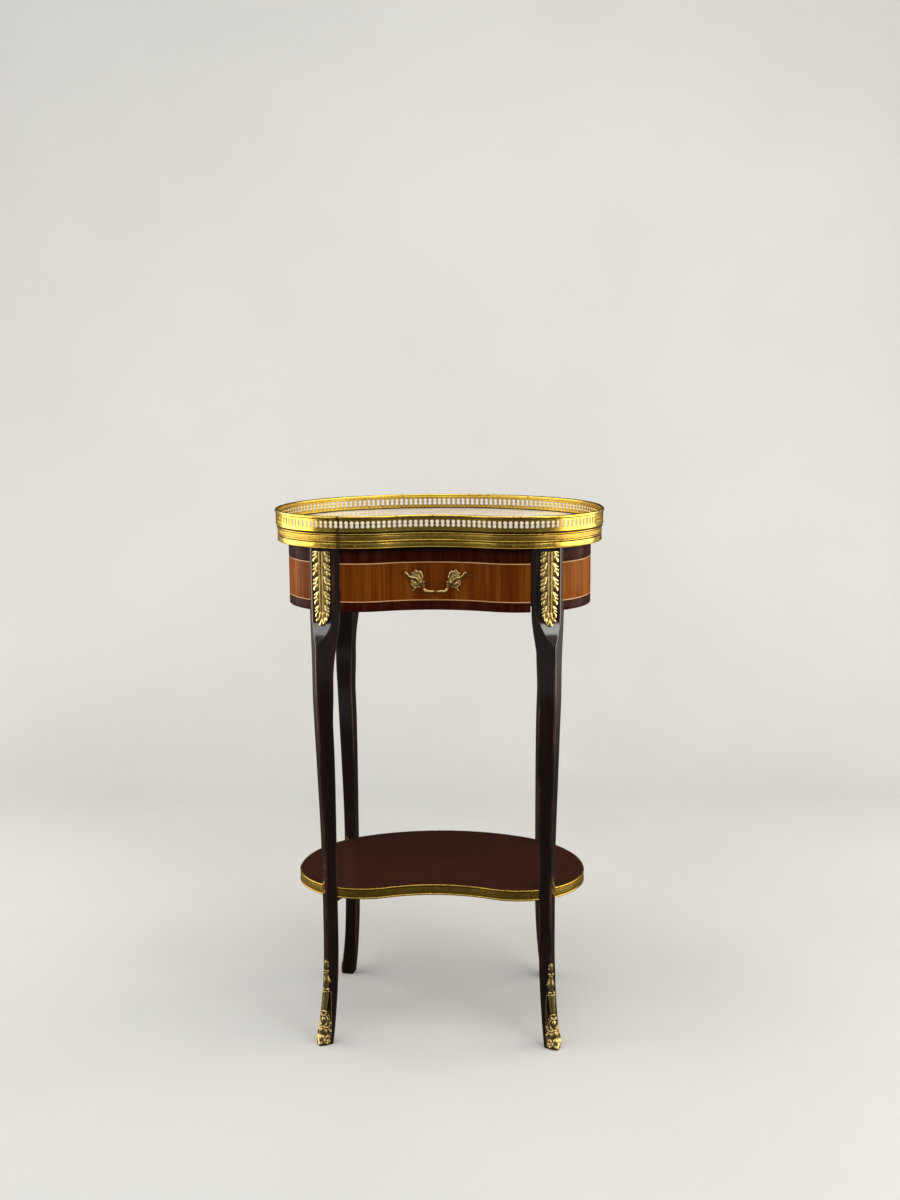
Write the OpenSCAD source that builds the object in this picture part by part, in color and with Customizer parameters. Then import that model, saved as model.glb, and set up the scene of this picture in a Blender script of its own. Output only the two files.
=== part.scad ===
// Kidney-shaped occasional table: pierced brass gallery round a marble top, one drawer,
// four slender cabriole legs with gilt mounts, and a kidney shelf let into the legs.
// The origin is on the floor under the middle of the top, +Z up, the drawer opens towards -Y.

/* [Top] */
// Width of the gallery over its rim
top_w = 436; // [400:1:470]
// Depth of the gallery over its rim
top_d = 292; // [270:1:315]
// How far the middle of the front curves in
front_dip = 20; // [12:1:28]
// Radius of the two front lobes as a part of the depth
lobe_part = 0.3921; // [0.38:0.001:0.4]
// Radius of the two back shoulders as a part of the depth
shoulder_part = 0.5634; // [0.555:0.001:0.57]
// Height from the floor to the top of the gallery rim
total_h = 712; // [690:1:740]
// Height of the gallery above the edge moulding
gallery_h = 22.2; // [19:0.1:25]
// Thickness of the gallery strip
gallery_t = 1.6; // [1.2:0.1:2.2]
// Height of the rolled rim bead
rim_h = 4.4; // [3:0.1:5]
// How far the rim bead stands out from the gallery strip
rim_proud = 1.2; // [0.6:0.1:2]
// Height of the piercings
pierce_h = 9.4; // [7:0.1:10]
// Height from the foot of the gallery to the piercings
pierce_lift = 6.6; // [5.5:0.1:7.5]
// Width of a web between two piercings at its narrowest
web_w = 1.8; // [1.2:0.1:2.6]
// Piercings along the front curve
pierce_front = 19; // [15:2:23]
// Piercings round each front lobe
pierce_lobe = 32; // [26:1:36]
// Piercings round each back shoulder
pierce_shoulder = 26; // [20:1:30]
// Piercings along the back curve
pierce_back = 39; // [31:2:45]
// Height of the edge moulding
moulding_h = 19.4; // [17:0.1:22]
// Height of the plain band at the foot of the moulding
plain_band_h = 7.4; // [6:0.1:9]
// Height of each bead of the moulding
bead_h = 1.9; // [1.2:0.1:2.5]
// How far the wall of the moulding stands in from the rim
moulding_inset = 3.2; // [2.4:0.1:4]
// Thickness of the moulding
moulding_t = 1.5; // [1:0.1:2]
// Height of the shadow groove under the gallery
groove_h = 2; // [1:0.1:2.4]
// Thickness of the panel under the marble
panel_t = 7; // [5:0.5:8]
// Thickness of the marble
marble_t = 14.6; // [12:0.1:16]
// Gap round the marble
marble_gap = 0.5; // [0.3:0.1:1]

/* [Apron and drawer] */
// How far the apron stands in from the rim
apron_inset = 17.3; // [15:0.1:20]
// Height of the apron
apron_h = 83.4; // [76:0.1:90]
// Thickness of the apron core
apron_t = 14; // [11:0.5:16]
// Thickness of the sawn veneer
veneer_t = 1; // [0.8:0.1:1.5]
// Height of the lower crossband
low_band_h = 12.4; // [10:0.1:16]
// Height of the figured field between the two lines of stringing
field_h = 47.8; // [42:0.1:52]
// Width of a line of stringing
string_w = 1.3; // [0.8:0.1:2]
// Gap between the drawer front and what is round it
drawer_gap = 0.7; // [0.5:0.1:1.2]
// Gap over the drawer front
head_gap = 1.6; // [1:0.1:3]
// Thickness of the drawer front at its middle
drawer_front_t = 15; // [12:0.5:18]
// How far the drawer sides stand in from the ends of the drawer front
box_inset = 3.5; // [2:0.1:12]
// How far the drawer box stops short of the inner corners of the back posts
box_short = 1; // [0:0.5:20]
// Thickness of the drawer sides
side_t = 8; // [6:0.5:10]
// Thickness of the drawer bottom
bottom_t = 4; // [3:0.5:6]
// Height of the drawer bottom above the foot of the sides
bottom_lift = 4.6; // [3:0.1:6]
// Depth of the groove that holds the drawer bottom
groove_d = 3; // [2:0.5:4]
// Thickness of the runners
runner_t = 6; // [5:0.5:8]
// Gap between the drawer box and its runners, guides and kickers
running_gap = 0.4; // [0.3:0.1:0.8]
// Height of the kickers over the drawer
kicker_t = 9.6; // [8:0.1:12]

/* [Legs] */
// Side of the square post in the apron
post_side = 33; // [30:0.5:35]
// Side of the leg below the knee
knee_side = 21; // [19:0.5:24]
// Side of the leg at the shelf
ankle_side = 17; // [15:0.5:19]
// Angle round the front lobe at which the outer corner of a front post stands
front_post_at = 64.35; // [62:0.05:66]
// How far that corner stands out from the arc of the lobe
front_post_out = 0.3; // [-1:0.1:1]
// Angle round the back shoulder at which the outer corner of a back post stands
back_post_at = 54.3; // [52:0.05:56]
// How far that corner stands out from the arc of the shoulder
back_post_out = 3.5; // [2:0.1:5]
// How far the front legs are turned
front_turn = 20; // [15:0.5:24]
// How far the back legs are turned
back_turn = 11; // [8:0.5:15]
// How far the front ankle lies in from the post
front_ankle_in = 11; // [8:0.1:14]
// How far the back ankle lies in from the post
back_ankle_in = 11; // [8:0.1:14]
// How far the knee lies below the apron
knee_drop = 102; // [90:1:115]
// How far the knee swells out past the post
knee_out = 1.6; // [0:0.1:3]
// How far the front toe splays out from the ankle
front_splay = 18.4; // [14:0.1:20]
// How far the back toe splays out from the ankle
back_splay = 17.6; // [14:0.1:24]
// Chamfer of the post along its front face
chamfer_in = 24.5; // [20:0.5:26]
// Chamfer of the post along its outer face
chamfer_out = 19; // [15:0.5:21]
// How far below the apron the chamfer runs out to a point
chamfer_tail = 43; // [35:1:55]

/* [Shelf] */
// Height of the shelf from the floor to its upper face
shelf_z = 214; // [208:1:218]
// How far the shelf band stands in from the rim of the top
shelf_inset = 22.3; // [20:0.1:25]
// Thickness of the shelf
shelf_t = 14.5; // [12:0.5:16]
// Thickness of the brass band at its lips
band_t = 1.9; // [1.5:0.1:2.5]
// How far the middle of the band lies behind its lips
band_sink = 0.6; // [0.4:0.1:1]
// Height of each lip of the band
lip_h = 2.2; // [1.5:0.1:3]
// Height of the glue blocks under the shelf
block_h = 7; // [5:0.5:7.5]

/* [Gilt mounts] */
// Height of the leaf mount on a post
chute_h = 96; // [86:1:100]
// Width of the leaf mount on a post
chute_w = 24.6; // [20:0.2:26]
// Thickness of the leaf mount at its stem
chute_t = 4.6; // [3.5:0.1:5.5]
// Height of the foot mount
sabot_h = 115; // [105:5:120]
// Thickness of the foot mount at its scrolls
sabot_t = 3.4; // [2.4:0.1:4.2]
// Height of the pivot of the bail above the foot of the apron
bail_lift = 37; // [33:0.5:41]
// Distance between the two pivots of the bail
bail_w = 34; // [30:0.5:38]
// How far the bail hangs below its pivots
bail_drop = 12; // [10:0.5:15]
// Distance from the drawer front to the pivot
bail_out = 7.2; // [6.5:0.1:9]
// Radius of the arms of the bail
bail_r = 1.5; // [1.2:0.1:1.8]
// Radius of the pivot pins of the bail
pivot_r = 1.1; // [0.9:0.1:1.3]
// Running clearance of the pivot in its eye
pivot_gap = 0.1; // [0.05:0.01:0.15]
// Radius of the bolts that hold the handle
bolt_r = 1.5; // [1.2:0.1:2]
// Radius of the heads of the brass pins
pin_r = 1.2; // [0.8:0.1:1.6]

/* [Hidden] */

far = 600;
brass = "#c9a33a";
gilt = "#d6b55c";
mahogany = "#4a1c12";
dark_wood = "#2a1210";
field_wood = "#a4622c";
line_wood = "#d9b27a";
oak = "#c4a069";

// The kidney outline: a hollow front curve, two lobes, two shoulders and a back curve,
// each a circular arc that meets the next one smoothly. Angles are in degrees.
lobe_r = top_d * lobe_part;
shoulder_r = top_d * shoulder_part;
end_y = lobe_r - top_d / 2;
lobe_x = top_w / 2 - lobe_r;
shoulder_x = top_w / 2 - shoulder_r;
back_rise = top_d / 2 - end_y;
back_r = (shoulder_x * shoulder_x + back_rise * back_rise - shoulder_r * shoulder_r)
    / (2 * (back_rise - shoulder_r));
back_cy = top_d / 2 - back_r;
dip_rise = lobe_r - front_dip;
front_r = (lobe_x * lobe_x + dip_rise * dip_rise - lobe_r * lobe_r) / (2 * front_dip);
front_cy = front_dip - top_d / 2 - front_r;
front_a = atan2(end_y - front_cy, lobe_x);
back_a = atan2(end_y - back_cy, shoulder_x);

function ring_pt(cx, cy, r, a) = [cx + r * cos(a), cy + r * sin(a)];
function flip(p) = [-p[0], p[1]];
function reversed(v) = [for (i = [len(v) - 1:-1:0]) v[i]];

// Points of the right half from the middle of the front to the middle of the back,
// moved inwards by the distance d
function half_outline(d) = concat(
    [for (i = [0:6]) ring_pt(0, front_cy, front_r + d, 90 + (front_a - 90) * i / 6)],
    [for (i = [1:14]) ring_pt(lobe_x, end_y, lobe_r - d, (front_a - 180) * (1 - i / 14))],
    [for (i = [1:8]) ring_pt(shoulder_x, end_y, shoulder_r - d, back_a * i / 8)],
    [for (i = [1:5]) ring_pt(0, back_cy, back_r - d, back_a + (90 - back_a) * i / 5)]);

function outline(d) = let (h = half_outline(d), n = len(h))
    concat(h, [for (i = [n - 2:-1:1]) flip(h[i])]);

module kidney(d) {
    polygon(outline(d));
}

// A kidney ring between two inward distances
module band(d0, d1) {
    difference() {
        kidney(d0);
        kidney(d1);
    }
}

module slab(z0, z1) {
    translate([0, 0, z0])
        linear_extrude(z1 - z0)
            children();
}

// Heights of the parts of the top
moulding_z1 = total_h - gallery_h;
moulding_z0 = moulding_z1 - moulding_h;
panel_z1 = moulding_z0 + panel_t;
apron_z1 = moulding_z0;
apron_z0 = apron_z1 - apron_h;
field_z0 = apron_z0 + low_band_h + string_w;
field_z1 = field_z0 + field_h;
inner_d = moulding_inset + moulding_t;
core_d = apron_inset + veneer_t;
rail_d = core_d + apron_t;

// Outer corners of the posts
front_x = lobe_x + (lobe_r + front_post_out) * cos(front_post_at);
front_y = (lobe_r + front_post_out) * sin(front_post_at) - end_y;
back_x = shoulder_x + (shoulder_r + back_post_out) * cos(back_post_at);
back_y = (shoulder_r + back_post_out) * sin(back_post_at) + end_y;

// Legs: each is given by its side, its end, the outer corner of its post, its turn,
// the splay and direction of its toe, and the sweep and direction of its ankle
FL = [-1, -1, front_x, front_y, front_turn, front_splay, 26, front_ankle_in, 21];
FR = [1, -1, front_x, front_y, front_turn, front_splay, 26, front_ankle_in, 21];
BL = [-1, 1, back_x, back_y, back_turn, back_splay, 34, back_ankle_in, 34];
BR = [1, 1, back_x, back_y, back_turn, back_splay, 34, back_ankle_in, 34];

// Directions inwards along the front face, back along the outer face, and out of the corner
function along(g) = [-g[0] * cos(g[4]), -g[1] * sin(g[4])];
function across(g) = [g[0] * sin(g[4]), -g[1] * cos(g[4])];
function outward(g) = -(along(g) + across(g)) / sqrt(2);
function heading(g, a) = [g[0] * sin(a), g[1] * cos(a)];

function ease(t) = let (u = min(1, max(0, t))) u * u * (3 - 2 * u);

// The ankle is straight where the shelf is let in
ankle_z0 = shelf_z - shelf_t - block_h - 3;
ankle_z1 = shelf_z + 8;
knee_z = apron_z0 - knee_drop;
swell_z = knee_z - knee_drop * 0.54;
bulge_z = knee_z - knee_drop * 1.03;
splay_h = shelf_z * 0.7;
knee_swell = knee_side * 0.11;
foot_side = ankle_side * 1.03;
arris = ankle_side / 17;
chamfer_tip_z = apron_z0 - chamfer_tail;

// Side of the square leg, inward sweep and outward splay at a height
function leg_side(z) = z >= apron_z0 ? post_side
    : z >= knee_z ? knee_side + knee_swell
        + (post_side - knee_side - knee_swell) * ease(pow((z - knee_z) / (apron_z0 - knee_z), 1.3))
    : z >= swell_z ? knee_side + knee_swell * ease((z - swell_z) / (knee_z - swell_z))
    : z >= ankle_z1 ? ankle_side + (knee_side - ankle_side) * ease((z - ankle_z1) / (swell_z - ankle_z1))
    : z >= ankle_z0 ? ankle_side
    : ankle_side + (foot_side - ankle_side) * ease(1 - 2 * z / sabot_h);
function leg_sweep(z) = 1 - ease((z - ankle_z1) / (knee_z - ankle_z1));
function leg_splay(z) = pow(max(0, 1 - z / splay_h), 2.3);
function knee_bulge(z) = knee_out * pow(sin(180 * min(1, max(0, (z - bulge_z) / (apron_z0 - bulge_z)))), 2);

function corner(g, z) = [g[0] * g[2], g[1] * g[3]] + outward(g) * knee_bulge(z)
    - heading(g, g[8]) * g[7] * leg_sweep(z) + heading(g, g[6]) * g[5] * leg_splay(z);

// The chamfer runs out to a point below the apron
chamfer_z = apron_z0 - 1;
function chamfer_part(z) = 1 - pow(1 - min(1, max(0, (z - chamfer_tip_z) / (chamfer_z - chamfer_tip_z))), 2);
function cut_in(z) = arris + (chamfer_in - arris) * chamfer_part(z);
function cut_out(z) = arris + (chamfer_out - arris) * chamfer_part(z);

function leg_plan(g, z) = let (c = corner(g, z), u = along(g), v = across(g), s = leg_side(z)) [
    c + u * cut_in(z), c + u * s, c + (u + v) * s, c + v * s, c + v * cut_out(z)];

sabot_step = 5;
leg_heights = concat(
    [for (z = [0:sabot_step:sabot_h]) z],
    [for (i = [1:4]) sabot_h + (ankle_z0 - sabot_h) * i / 4],
    [ankle_z1],
    [for (i = [1:10]) ankle_z1 + (swell_z - ankle_z1) * i / 10],
    [for (i = [1:4]) swell_z + (chamfer_tip_z - swell_z) * i / 4],
    [for (i = [1:8]) chamfer_tip_z + (chamfer_z - chamfer_tip_z) * pow(i / 8, 1.6)],
    [apron_z0, apron_z1]);

// A skin through equal rings of points, closed by a fan at each end
function skin_faces(rows, n, turned) = let (
    side_faces = [for (i = [0:rows - 2], j = [0:n - 1]) let (k = (j + 1) % n)
        each [[i * n + j, (i + 1) * n + j, (i + 1) * n + k], [i * n + j, (i + 1) * n + k, i * n + k]]],
    caps = concat([for (j = [1:n - 2]) [0, j, j + 1]],
        [for (j = [1:n - 2]) let (b = (rows - 1) * n) [b, b + j + 1, b + j]]),
    all = concat(side_faces, caps))
    turned ? [for (f = all) [f[2], f[1], f[0]]] : all;

module skin(rings, turned) {
    n = len(rings[0]);
    polyhedron([for (r = rings) each r], skin_faces(len(rings), n, turned));
}

function lifted(plan, z) = [for (p = plan) [p[0], p[1], z]];

module leg(g) {
    color(dark_wood)
        skin([for (z = leg_heights) lifted(leg_plan(g, z), z)], g[0] * g[1] < 0);
}

module post_plan(g) {
    polygon(leg_plan(g, apron_z1));
}

module all_posts() {
    for (g = [FL, FR, BL, BR]) post_plan(g);
}

function post_mid(g) = corner(g, apron_z1) + (along(g) + across(g)) * post_side / 2;

// A wedge from the middle of the table through the middles of two posts
module wedge_between(p, q, mid) {
    polygon([[0, 0], p * 3, mid, q * 3]);
}

module end_wedge(side) {
    wedge_between(post_mid(side < 0 ? FL : FR), post_mid(side < 0 ? BL : BR), [side * far, 0]);
}

module back_wedge() {
    wedge_between(post_mid(BR), post_mid(BL), [0, far]);
}

// Part of a kidney ring between two posts
module rail_plan(d0, d1) {
    difference() {
        intersection() {
            band(d0, d1);
            children();
        }
        all_posts();
    }
}

module end_rail(side) {
    color(oak)
        slab(apron_z0, apron_z1)
            rail_plan(core_d, rail_d) end_wedge(side);
}

module back_rail() {
    color(oak)
        slab(apron_z0, apron_z1)
            rail_plan(core_d, rail_d) back_wedge();
}

module face_veneer(z0, z1) {
    slab(z0, z1)
        rail_plan(apron_inset, core_d) children();
}

module field_veneer() {
    color(field_wood)
        face_veneer(field_z0, field_z1) children();
}

module crossbands(top_z) {
    color(mahogany) {
        face_veneer(apron_z0, field_z0 - string_w) children();
        face_veneer(field_z1 + string_w, top_z) children();
    }
}

module stringing() {
    color(line_wood) {
        face_veneer(field_z0 - string_w, field_z0) children();
        face_veneer(field_z1, field_z1 + string_w) children();
    }
}

// The top
module top_panel() {
    color(oak)
        slab(moulding_z0, panel_z1) kidney(inner_d);
}

module marble_top() {
    color("#ece6e1")
        slab(panel_z1, panel_z1 + marble_t) kidney(inner_d + marble_gap);
}

plain_z1 = moulding_z0 + plain_band_h;
knurl_z1 = moulding_z1 - bead_h;

module edge_moulding() {
    color(brass)
        union() {
            slab(moulding_z0, moulding_z1) band(moulding_inset, inner_d);
            slab(plain_z1, plain_z1 + bead_h) band(moulding_inset - 0.8, inner_d - 0.4);
            slab(knurl_z1, moulding_z1) band(moulding_inset - 1.2, inner_d - 0.4);
        }
}

// A place on an arc of the outline, with its outward direction
function arc_place(cx, cy, r, a, sign) = [ring_pt(cx, cy, r, a), sign * [cos(a), sin(a)]];

// Places at even steps along the right half of the outline, each with its outward direction
function half_places(d, nf, nl, ns, nb) = concat(
    [for (i = [1:floor(nf / 2)])
        arc_place(0, front_cy, front_r + d, 90 + (front_a - 90) * (2 * i - 1) / nf, -1)],
    [for (i = [0:nl - 1]) arc_place(lobe_x, end_y, lobe_r - d, (front_a - 180) * (1 - i / nl), 1)],
    [for (i = [0:ns - 1]) arc_place(shoulder_x, end_y, shoulder_r - d, back_a * i / ns, 1)],
    [for (i = [0:floor(nb / 2)]) arc_place(0, back_cy, back_r - d, back_a + (90 - back_a) * 2 * i / nb, 1)]);

function mirrored_places(places) = [for (p = places) [flip(p[0]), flip(p[1])]];

gallery_d = rim_proud;
strip_z0 = moulding_z1 + groove_h;
pierce_z0 = moulding_z1 + pierce_lift;
pierce_z1 = pierce_z0 + pierce_h;
waist_h = pierce_h * 0.16;
waist_w = web_w * 1.9;
web_inset = 0.3;

// The webs between the piercings, seen from above
module webs(w) {
    right = half_places(gallery_d + gallery_t / 2, pierce_front, pierce_lobe, pierce_shoulder, pierce_back);
    for (p = concat(right, mirrored_places(right))) {
        c = p[0];
        n = p[1] * (gallery_t / 2 - web_inset / 2);
        t = [-p[1][1], p[1][0]] * w / 2;
        polygon([c + n + t, c + n - t, c - n - t, c - n + t]);
    }
}

module gallery_strip() {
    color(brass)
        union() {
            slab(moulding_z1, strip_z0 + 0.6) band(gallery_d + gallery_t - 0.3, inner_d);
            slab(strip_z0, pierce_z0) band(gallery_d, gallery_d + gallery_t);
            slab(pierce_z0 - 0.2, pierce_z1 + 0.2) webs(web_w);
            slab((pierce_z0 + pierce_z1 - waist_h) / 2, (pierce_z0 + pierce_z1 + waist_h) / 2) webs(waist_w);
            slab(pierce_z1, total_h - rim_h) band(gallery_d, gallery_d + gallery_t);
        }
}

module gallery_rim() {
    z0 = total_h - rim_h;
    inner = 2 * gallery_d + gallery_t;
    color(brass)
        union() {
            slab(z0, z0 + rim_h * 0.2) band(rim_proud * 0.6, inner - rim_proud * 0.6);
            slab(z0 + rim_h * 0.2, z0 + rim_h * 0.8) band(0, inner);
            slab(z0 + rim_h * 0.8, total_h) band(rim_proud * 0.6, inner - rim_proud * 0.6);
        }
}

// A brass pin: a domed head on a straight shank, pointing along its direction
module brass_pin(place, z, shank) {
    translate([place[0][0], place[0][1], z])
        rotate([0, 0, atan2(place[1][1], place[1][0])])
            rotate([0, 90, 0])
                translate([0, 0, -shank])
                    cylinder(h = shank + 0.5, r = pin_r, $fn = 24);
}

// Pins along the right half of the outline: the middle of the front, then round to the back
function pin_places(d, near, past, shoulder) = [
    arc_place(0, front_cy, front_r + d, 90, -1),
    arc_place(lobe_x, end_y, lobe_r - d, near, 1),
    arc_place(lobe_x, end_y, lobe_r - d, past, 1),
    arc_place(lobe_x, end_y, lobe_r - d, -5, 1),
    arc_place(shoulder_x, end_y, shoulder_r - d, shoulder, 1),
    arc_place(0, back_cy, back_r - d, 78, 1)];

module moulding_pins() {
    right = pin_places(moulding_inset, -92, -64, 36);
    color(brass)
        for (p = concat(right, mirrored_places([for (i = [1:5]) right[i]])))
            brass_pin(p, moulding_z0 + panel_t / 2, 5);
}

// Glue blocks in the angle between the rails and the panel
module corner_blocks() {
    color(oak)
        slab(apron_z1 - 14, apron_z1) {
            for (a = [-24, 12, 168, 204, 90])
                intersection() {
                    band(rail_d, rail_d + 12);
                    rotate(a) translate([far / 2, 0]) square([far, 26], center = true);
                }
        }
}

// The drawer and what carries it
front_face_y = front_cy + front_r + apron_inset;
box_y0 = front_face_y + drawer_front_t;
box_y1 = back_y - post_side * (cos(back_turn) + sin(back_turn)) - box_short;
box_d = box_y1 - box_y0;
runner_z1 = apron_z0 + 8;
side_z0 = runner_z1 + running_gap;
kicker_z0 = apron_z1 - kicker_t;
side_z1 = kicker_z0 - running_gap;
front_half_w = front_x - post_side * cos(front_turn) - drawer_gap;
box_w = 2 * (front_half_w - box_inset);
bail_z = apron_z0 + bail_lift;
front_z1 = apron_z1 - head_gap;
bottom_z0 = side_z0 + bottom_lift;
runner_in = box_w / 2 - side_t - 2;
runner_out = box_w / 2 + 16;

// The runner stops behind the drawer front, and reaches the posts beside it
module runner_shape(side) {
    difference() {
        intersection() {
            kidney(rail_d);
            mirror([side < 0 ? 1 : 0, 0])
                polygon([
                    [runner_in, box_y0 + running_gap], [front_half_w + 2, box_y0 + running_gap],
                    [front_half_w + 2, box_y0 - 20], [front_half_w + 26, box_y0 - 20],
                    [front_half_w + 26, box_y0 + 20], [runner_out, box_y0 + 30],
                    [runner_out, far], [runner_in, far]]);
        }
        all_posts();
    }
}

module drawer_runner(side) {
    color(oak)
        slab(runner_z1 - runner_t, runner_z1) runner_shape(side);
}

module kicker(side) {
    color(oak)
        slab(kicker_z0, apron_z1) runner_shape(side);
}

module side_guide(side) {
    x0 = box_w / 2 + running_gap;
    color(oak)
        slab(runner_z1, runner_z1 + 12)
            difference() {
                mirror([side < 0 ? 1 : 0, 0])
                    translate([x0, box_y0 + 4]) square([6, box_d - 8]);
                all_posts();
            }
}

module drawer_stops() {
    color(oak)
        for (side = [-1, 1])
            slab(runner_z1, runner_z1 + 14)
                mirror([side < 0 ? 1 : 0, 0])
                    translate([runner_in, box_y1 + running_gap]) square([9, 8]);
}

// Part of a ring in front of the drawer box
module drawer_arc(d0, d1) {
    intersection() {
        band(d0, d1);
        translate([-front_half_w, -far]) square([2 * front_half_w, far + box_y0]);
    }
}

bolt_x = bail_w / 2 + 8.5;
mount_turn = asin(bolt_x / (front_r + apron_inset));
bolt_y = front_cy + (front_r + apron_inset) * cos(mount_turn);

module bolt_holes() {
    for (side = [-1, 1])
        translate([side * bolt_x, box_y0 + 10, bail_z + 4])
            rotate([90, 0, 0])
                cylinder(h = 60, r = bolt_r + 0.1, $fn = 32);
}

module drawer_front() {
    color(oak)
        difference() {
            slab(apron_z0, front_z1)
                intersection() {
                    kidney(core_d);
                    translate([-front_half_w, -far]) square([2 * front_half_w, far + box_y0]);
                }
            translate([-box_w / 2 + side_t - groove_d, box_y0 - groove_d, bottom_z0])
                cube([box_w - 2 * side_t + 2 * groove_d, groove_d + 1, bottom_t]);
            bolt_holes();
        }
}

module drawer_field_veneer() {
    color(field_wood)
        difference() {
            slab(field_z0, field_z1) drawer_arc(apron_inset, core_d);
            bolt_holes();
        }
}

module drawer_crossbands() {
    color(mahogany) {
        slab(apron_z0, field_z0 - string_w) drawer_arc(apron_inset, core_d);
        slab(field_z1 + string_w, front_z1) drawer_arc(apron_inset, core_d);
    }
}

module drawer_stringing() {
    color(line_wood) {
        slab(field_z0 - string_w, field_z0) drawer_arc(apron_inset, core_d);
        slab(field_z1, field_z1 + string_w) drawer_arc(apron_inset, core_d);
    }
}

module drawer_side(side) {
    color(oak)
        mirror([side < 0 ? 1 : 0, 0, 0])
            difference() {
                translate([box_w / 2 - side_t, box_y0, side_z0])
                    cube([side_t, box_d, side_z1 - side_z0]);
                translate([box_w / 2 - side_t - 1, box_y0 - 1, bottom_z0])
                    cube([groove_d + 1, box_d + 2, bottom_t]);
            }
}

module drawer_back() {
    color(oak)
        translate([-box_w / 2 + side_t, box_y1 - side_t, bottom_z0 + bottom_t])
            cube([box_w - 2 * side_t, side_t, side_z1 - bottom_z0 - bottom_t - 6]);
}

module drawer_bottom() {
    w = box_w - 2 * side_t + 2 * groove_d;
    color(oak)
        translate([-w / 2, box_y0 - groove_d, bottom_z0])
            cube([w, box_d + groove_d, bottom_t]);
}

// The handle: two leafy scrolls, each with an eye, and a bail that swings in the eyes
pivot_y = front_face_y - bail_out;
leaf_t = 2.2;

// Outline of one scroll mount, seen from the front, measured from its bolt
leaf_points = [
    [-11.5, -2], [-10.5, 6], [-7.5, 12], [-3, 14.6], [2, 12.2], [5.5, 9], [9, 11.6], [13.4, 14.2],
    [14.2, 11], [10, 6.4], [5.4, 1.6], [6.2, -4], [4.2, -8.4], [7, -12.6], [1, -10], [-4, -11], [-8.4, -8.6]];

module handle_mount(side) {
    eye_x = bail_w / 2 + 0.6;
    color(gilt)
        mirror([side < 0 ? 1 : 0, 0, 0])
            difference() {
                union() {
                    translate([bolt_x, bolt_y, bail_z + 2])
                        rotate([90, 0, -mount_turn])
                            translate([0, 0, -1.5])
                                linear_extrude(leaf_t + 1.5) polygon(leaf_points);
                    translate([bolt_x, bolt_y, bail_z + 2])
                        rotate([90, 0, -mount_turn])
                            linear_extrude(leaf_t + 1.6) polygon(leaf_points * 0.62);
                    translate([eye_x, pivot_y, bail_z - 2.6])
                        cube([3.4, bolt_y - pivot_y + 1, 5.2]);
                    translate([eye_x, pivot_y, bail_z])
                        rotate([0, 90, 0])
                            cylinder(h = 3.4, r = 2.6, $fn = 48);
                }
                slab(bail_z - 30, bail_z + 30) kidney(apron_inset - 0.1);
                translate([eye_x - 1, pivot_y, bail_z])
                    rotate([0, 90, 0])
                        cylinder(h = 3.6, r = pivot_r + pivot_gap, $fn = 48);
                translate([bolt_x, bolt_y + 5, bail_z + 4])
                    rotate([90, 0, 0])
                        cylinder(h = 6.2, r = bolt_r, $fn = 32);
            }
}

module handle_bolts() {
    color("#8c8c88")
        for (side = [-1, 1])
            translate([side * bolt_x, box_y0 + 4, bail_z + 4])
                rotate([90, 0, 0])
                    cylinder(h = box_y0 + 4 - bolt_y + 1, r = bolt_r, $fn = 32);
}

module handle_nuts() {
    color("#8c8c88")
        for (side = [-1, 1])
            translate([side * bolt_x, box_y0, bail_z + 4])
                rotate([-90, 0, 0])
                    difference() {
                        cylinder(h = 2.4, r = 3.6, $fn = 6);
                        translate([0, 0, -1]) cylinder(h = 5, r = bolt_r, $fn = 32);
                    }
}

// A quarter bend of the bail in the plane of the drawer front
module bend(x, z, r, turn) {
    translate([x, pivot_y, z])
        rotate([90, 0, 0])
            rotate([0, 0, turn])
                rotate_extrude(angle = 90, $fn = 96)
                    translate([r, 0]) circle(r = bail_r, $fn = 32);
}

bend_r = 5;
shoulder_bend = 2.4;

module bail() {
    arm_x = bail_w / 2 - shoulder_bend;
    low_z = bail_z - bail_drop;
    color(gilt)
        union() {
            for (side = [-1, 1])
                mirror([side < 0 ? 1 : 0, 0, 0]) {
                    translate([arm_x + shoulder_bend, pivot_y, bail_z])
                        rotate([0, 90, 0])
                            cylinder(h = 2.9, r = pivot_r, $fn = 48);
                    bend(arm_x + shoulder_bend, bail_z - shoulder_bend, shoulder_bend, 90);
                    translate([arm_x, pivot_y, low_z + bend_r])
                        cylinder(h = bail_z - shoulder_bend - low_z - bend_r, r = bail_r, $fn = 32);
                    bend(arm_x - bend_r, low_z + bend_r, bend_r, -90);
                }
            translate([-arm_x + bend_r, pivot_y, low_z])
                rotate([0, 90, 0])
                    cylinder(h = 2 * (arm_x - bend_r), r = bail_r, $fn = 32);
            for (k = [[-8, 4.6, 2.1], [-2.6, 1.2, 2.3], [1.4, 1.2, 2.3], [3.4, 4.6, 2.1]])
                translate([k[0], pivot_y, low_z])
                    rotate([0, 90, 0])
                        cylinder(h = k[1], r = k[2], $fn = 48);
        }
}

// The shelf
shelf_z0 = shelf_z - shelf_t;
board_d = shelf_inset + band_t;

module ankle_plan(g) {
    polygon(leg_plan(g, shelf_z));
}

module all_ankles() {
    for (g = [FL, FR, BL, BR]) ankle_plan(g);
}

module shelf_board() {
    color(mahogany)
        slab(shelf_z0, shelf_z)
            difference() {
                kidney(board_d);
                all_ankles();
            }
}

function ankle_mid(g) = corner(g, shelf_z) + (along(g) + across(g)) * ankle_side / 2;

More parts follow.
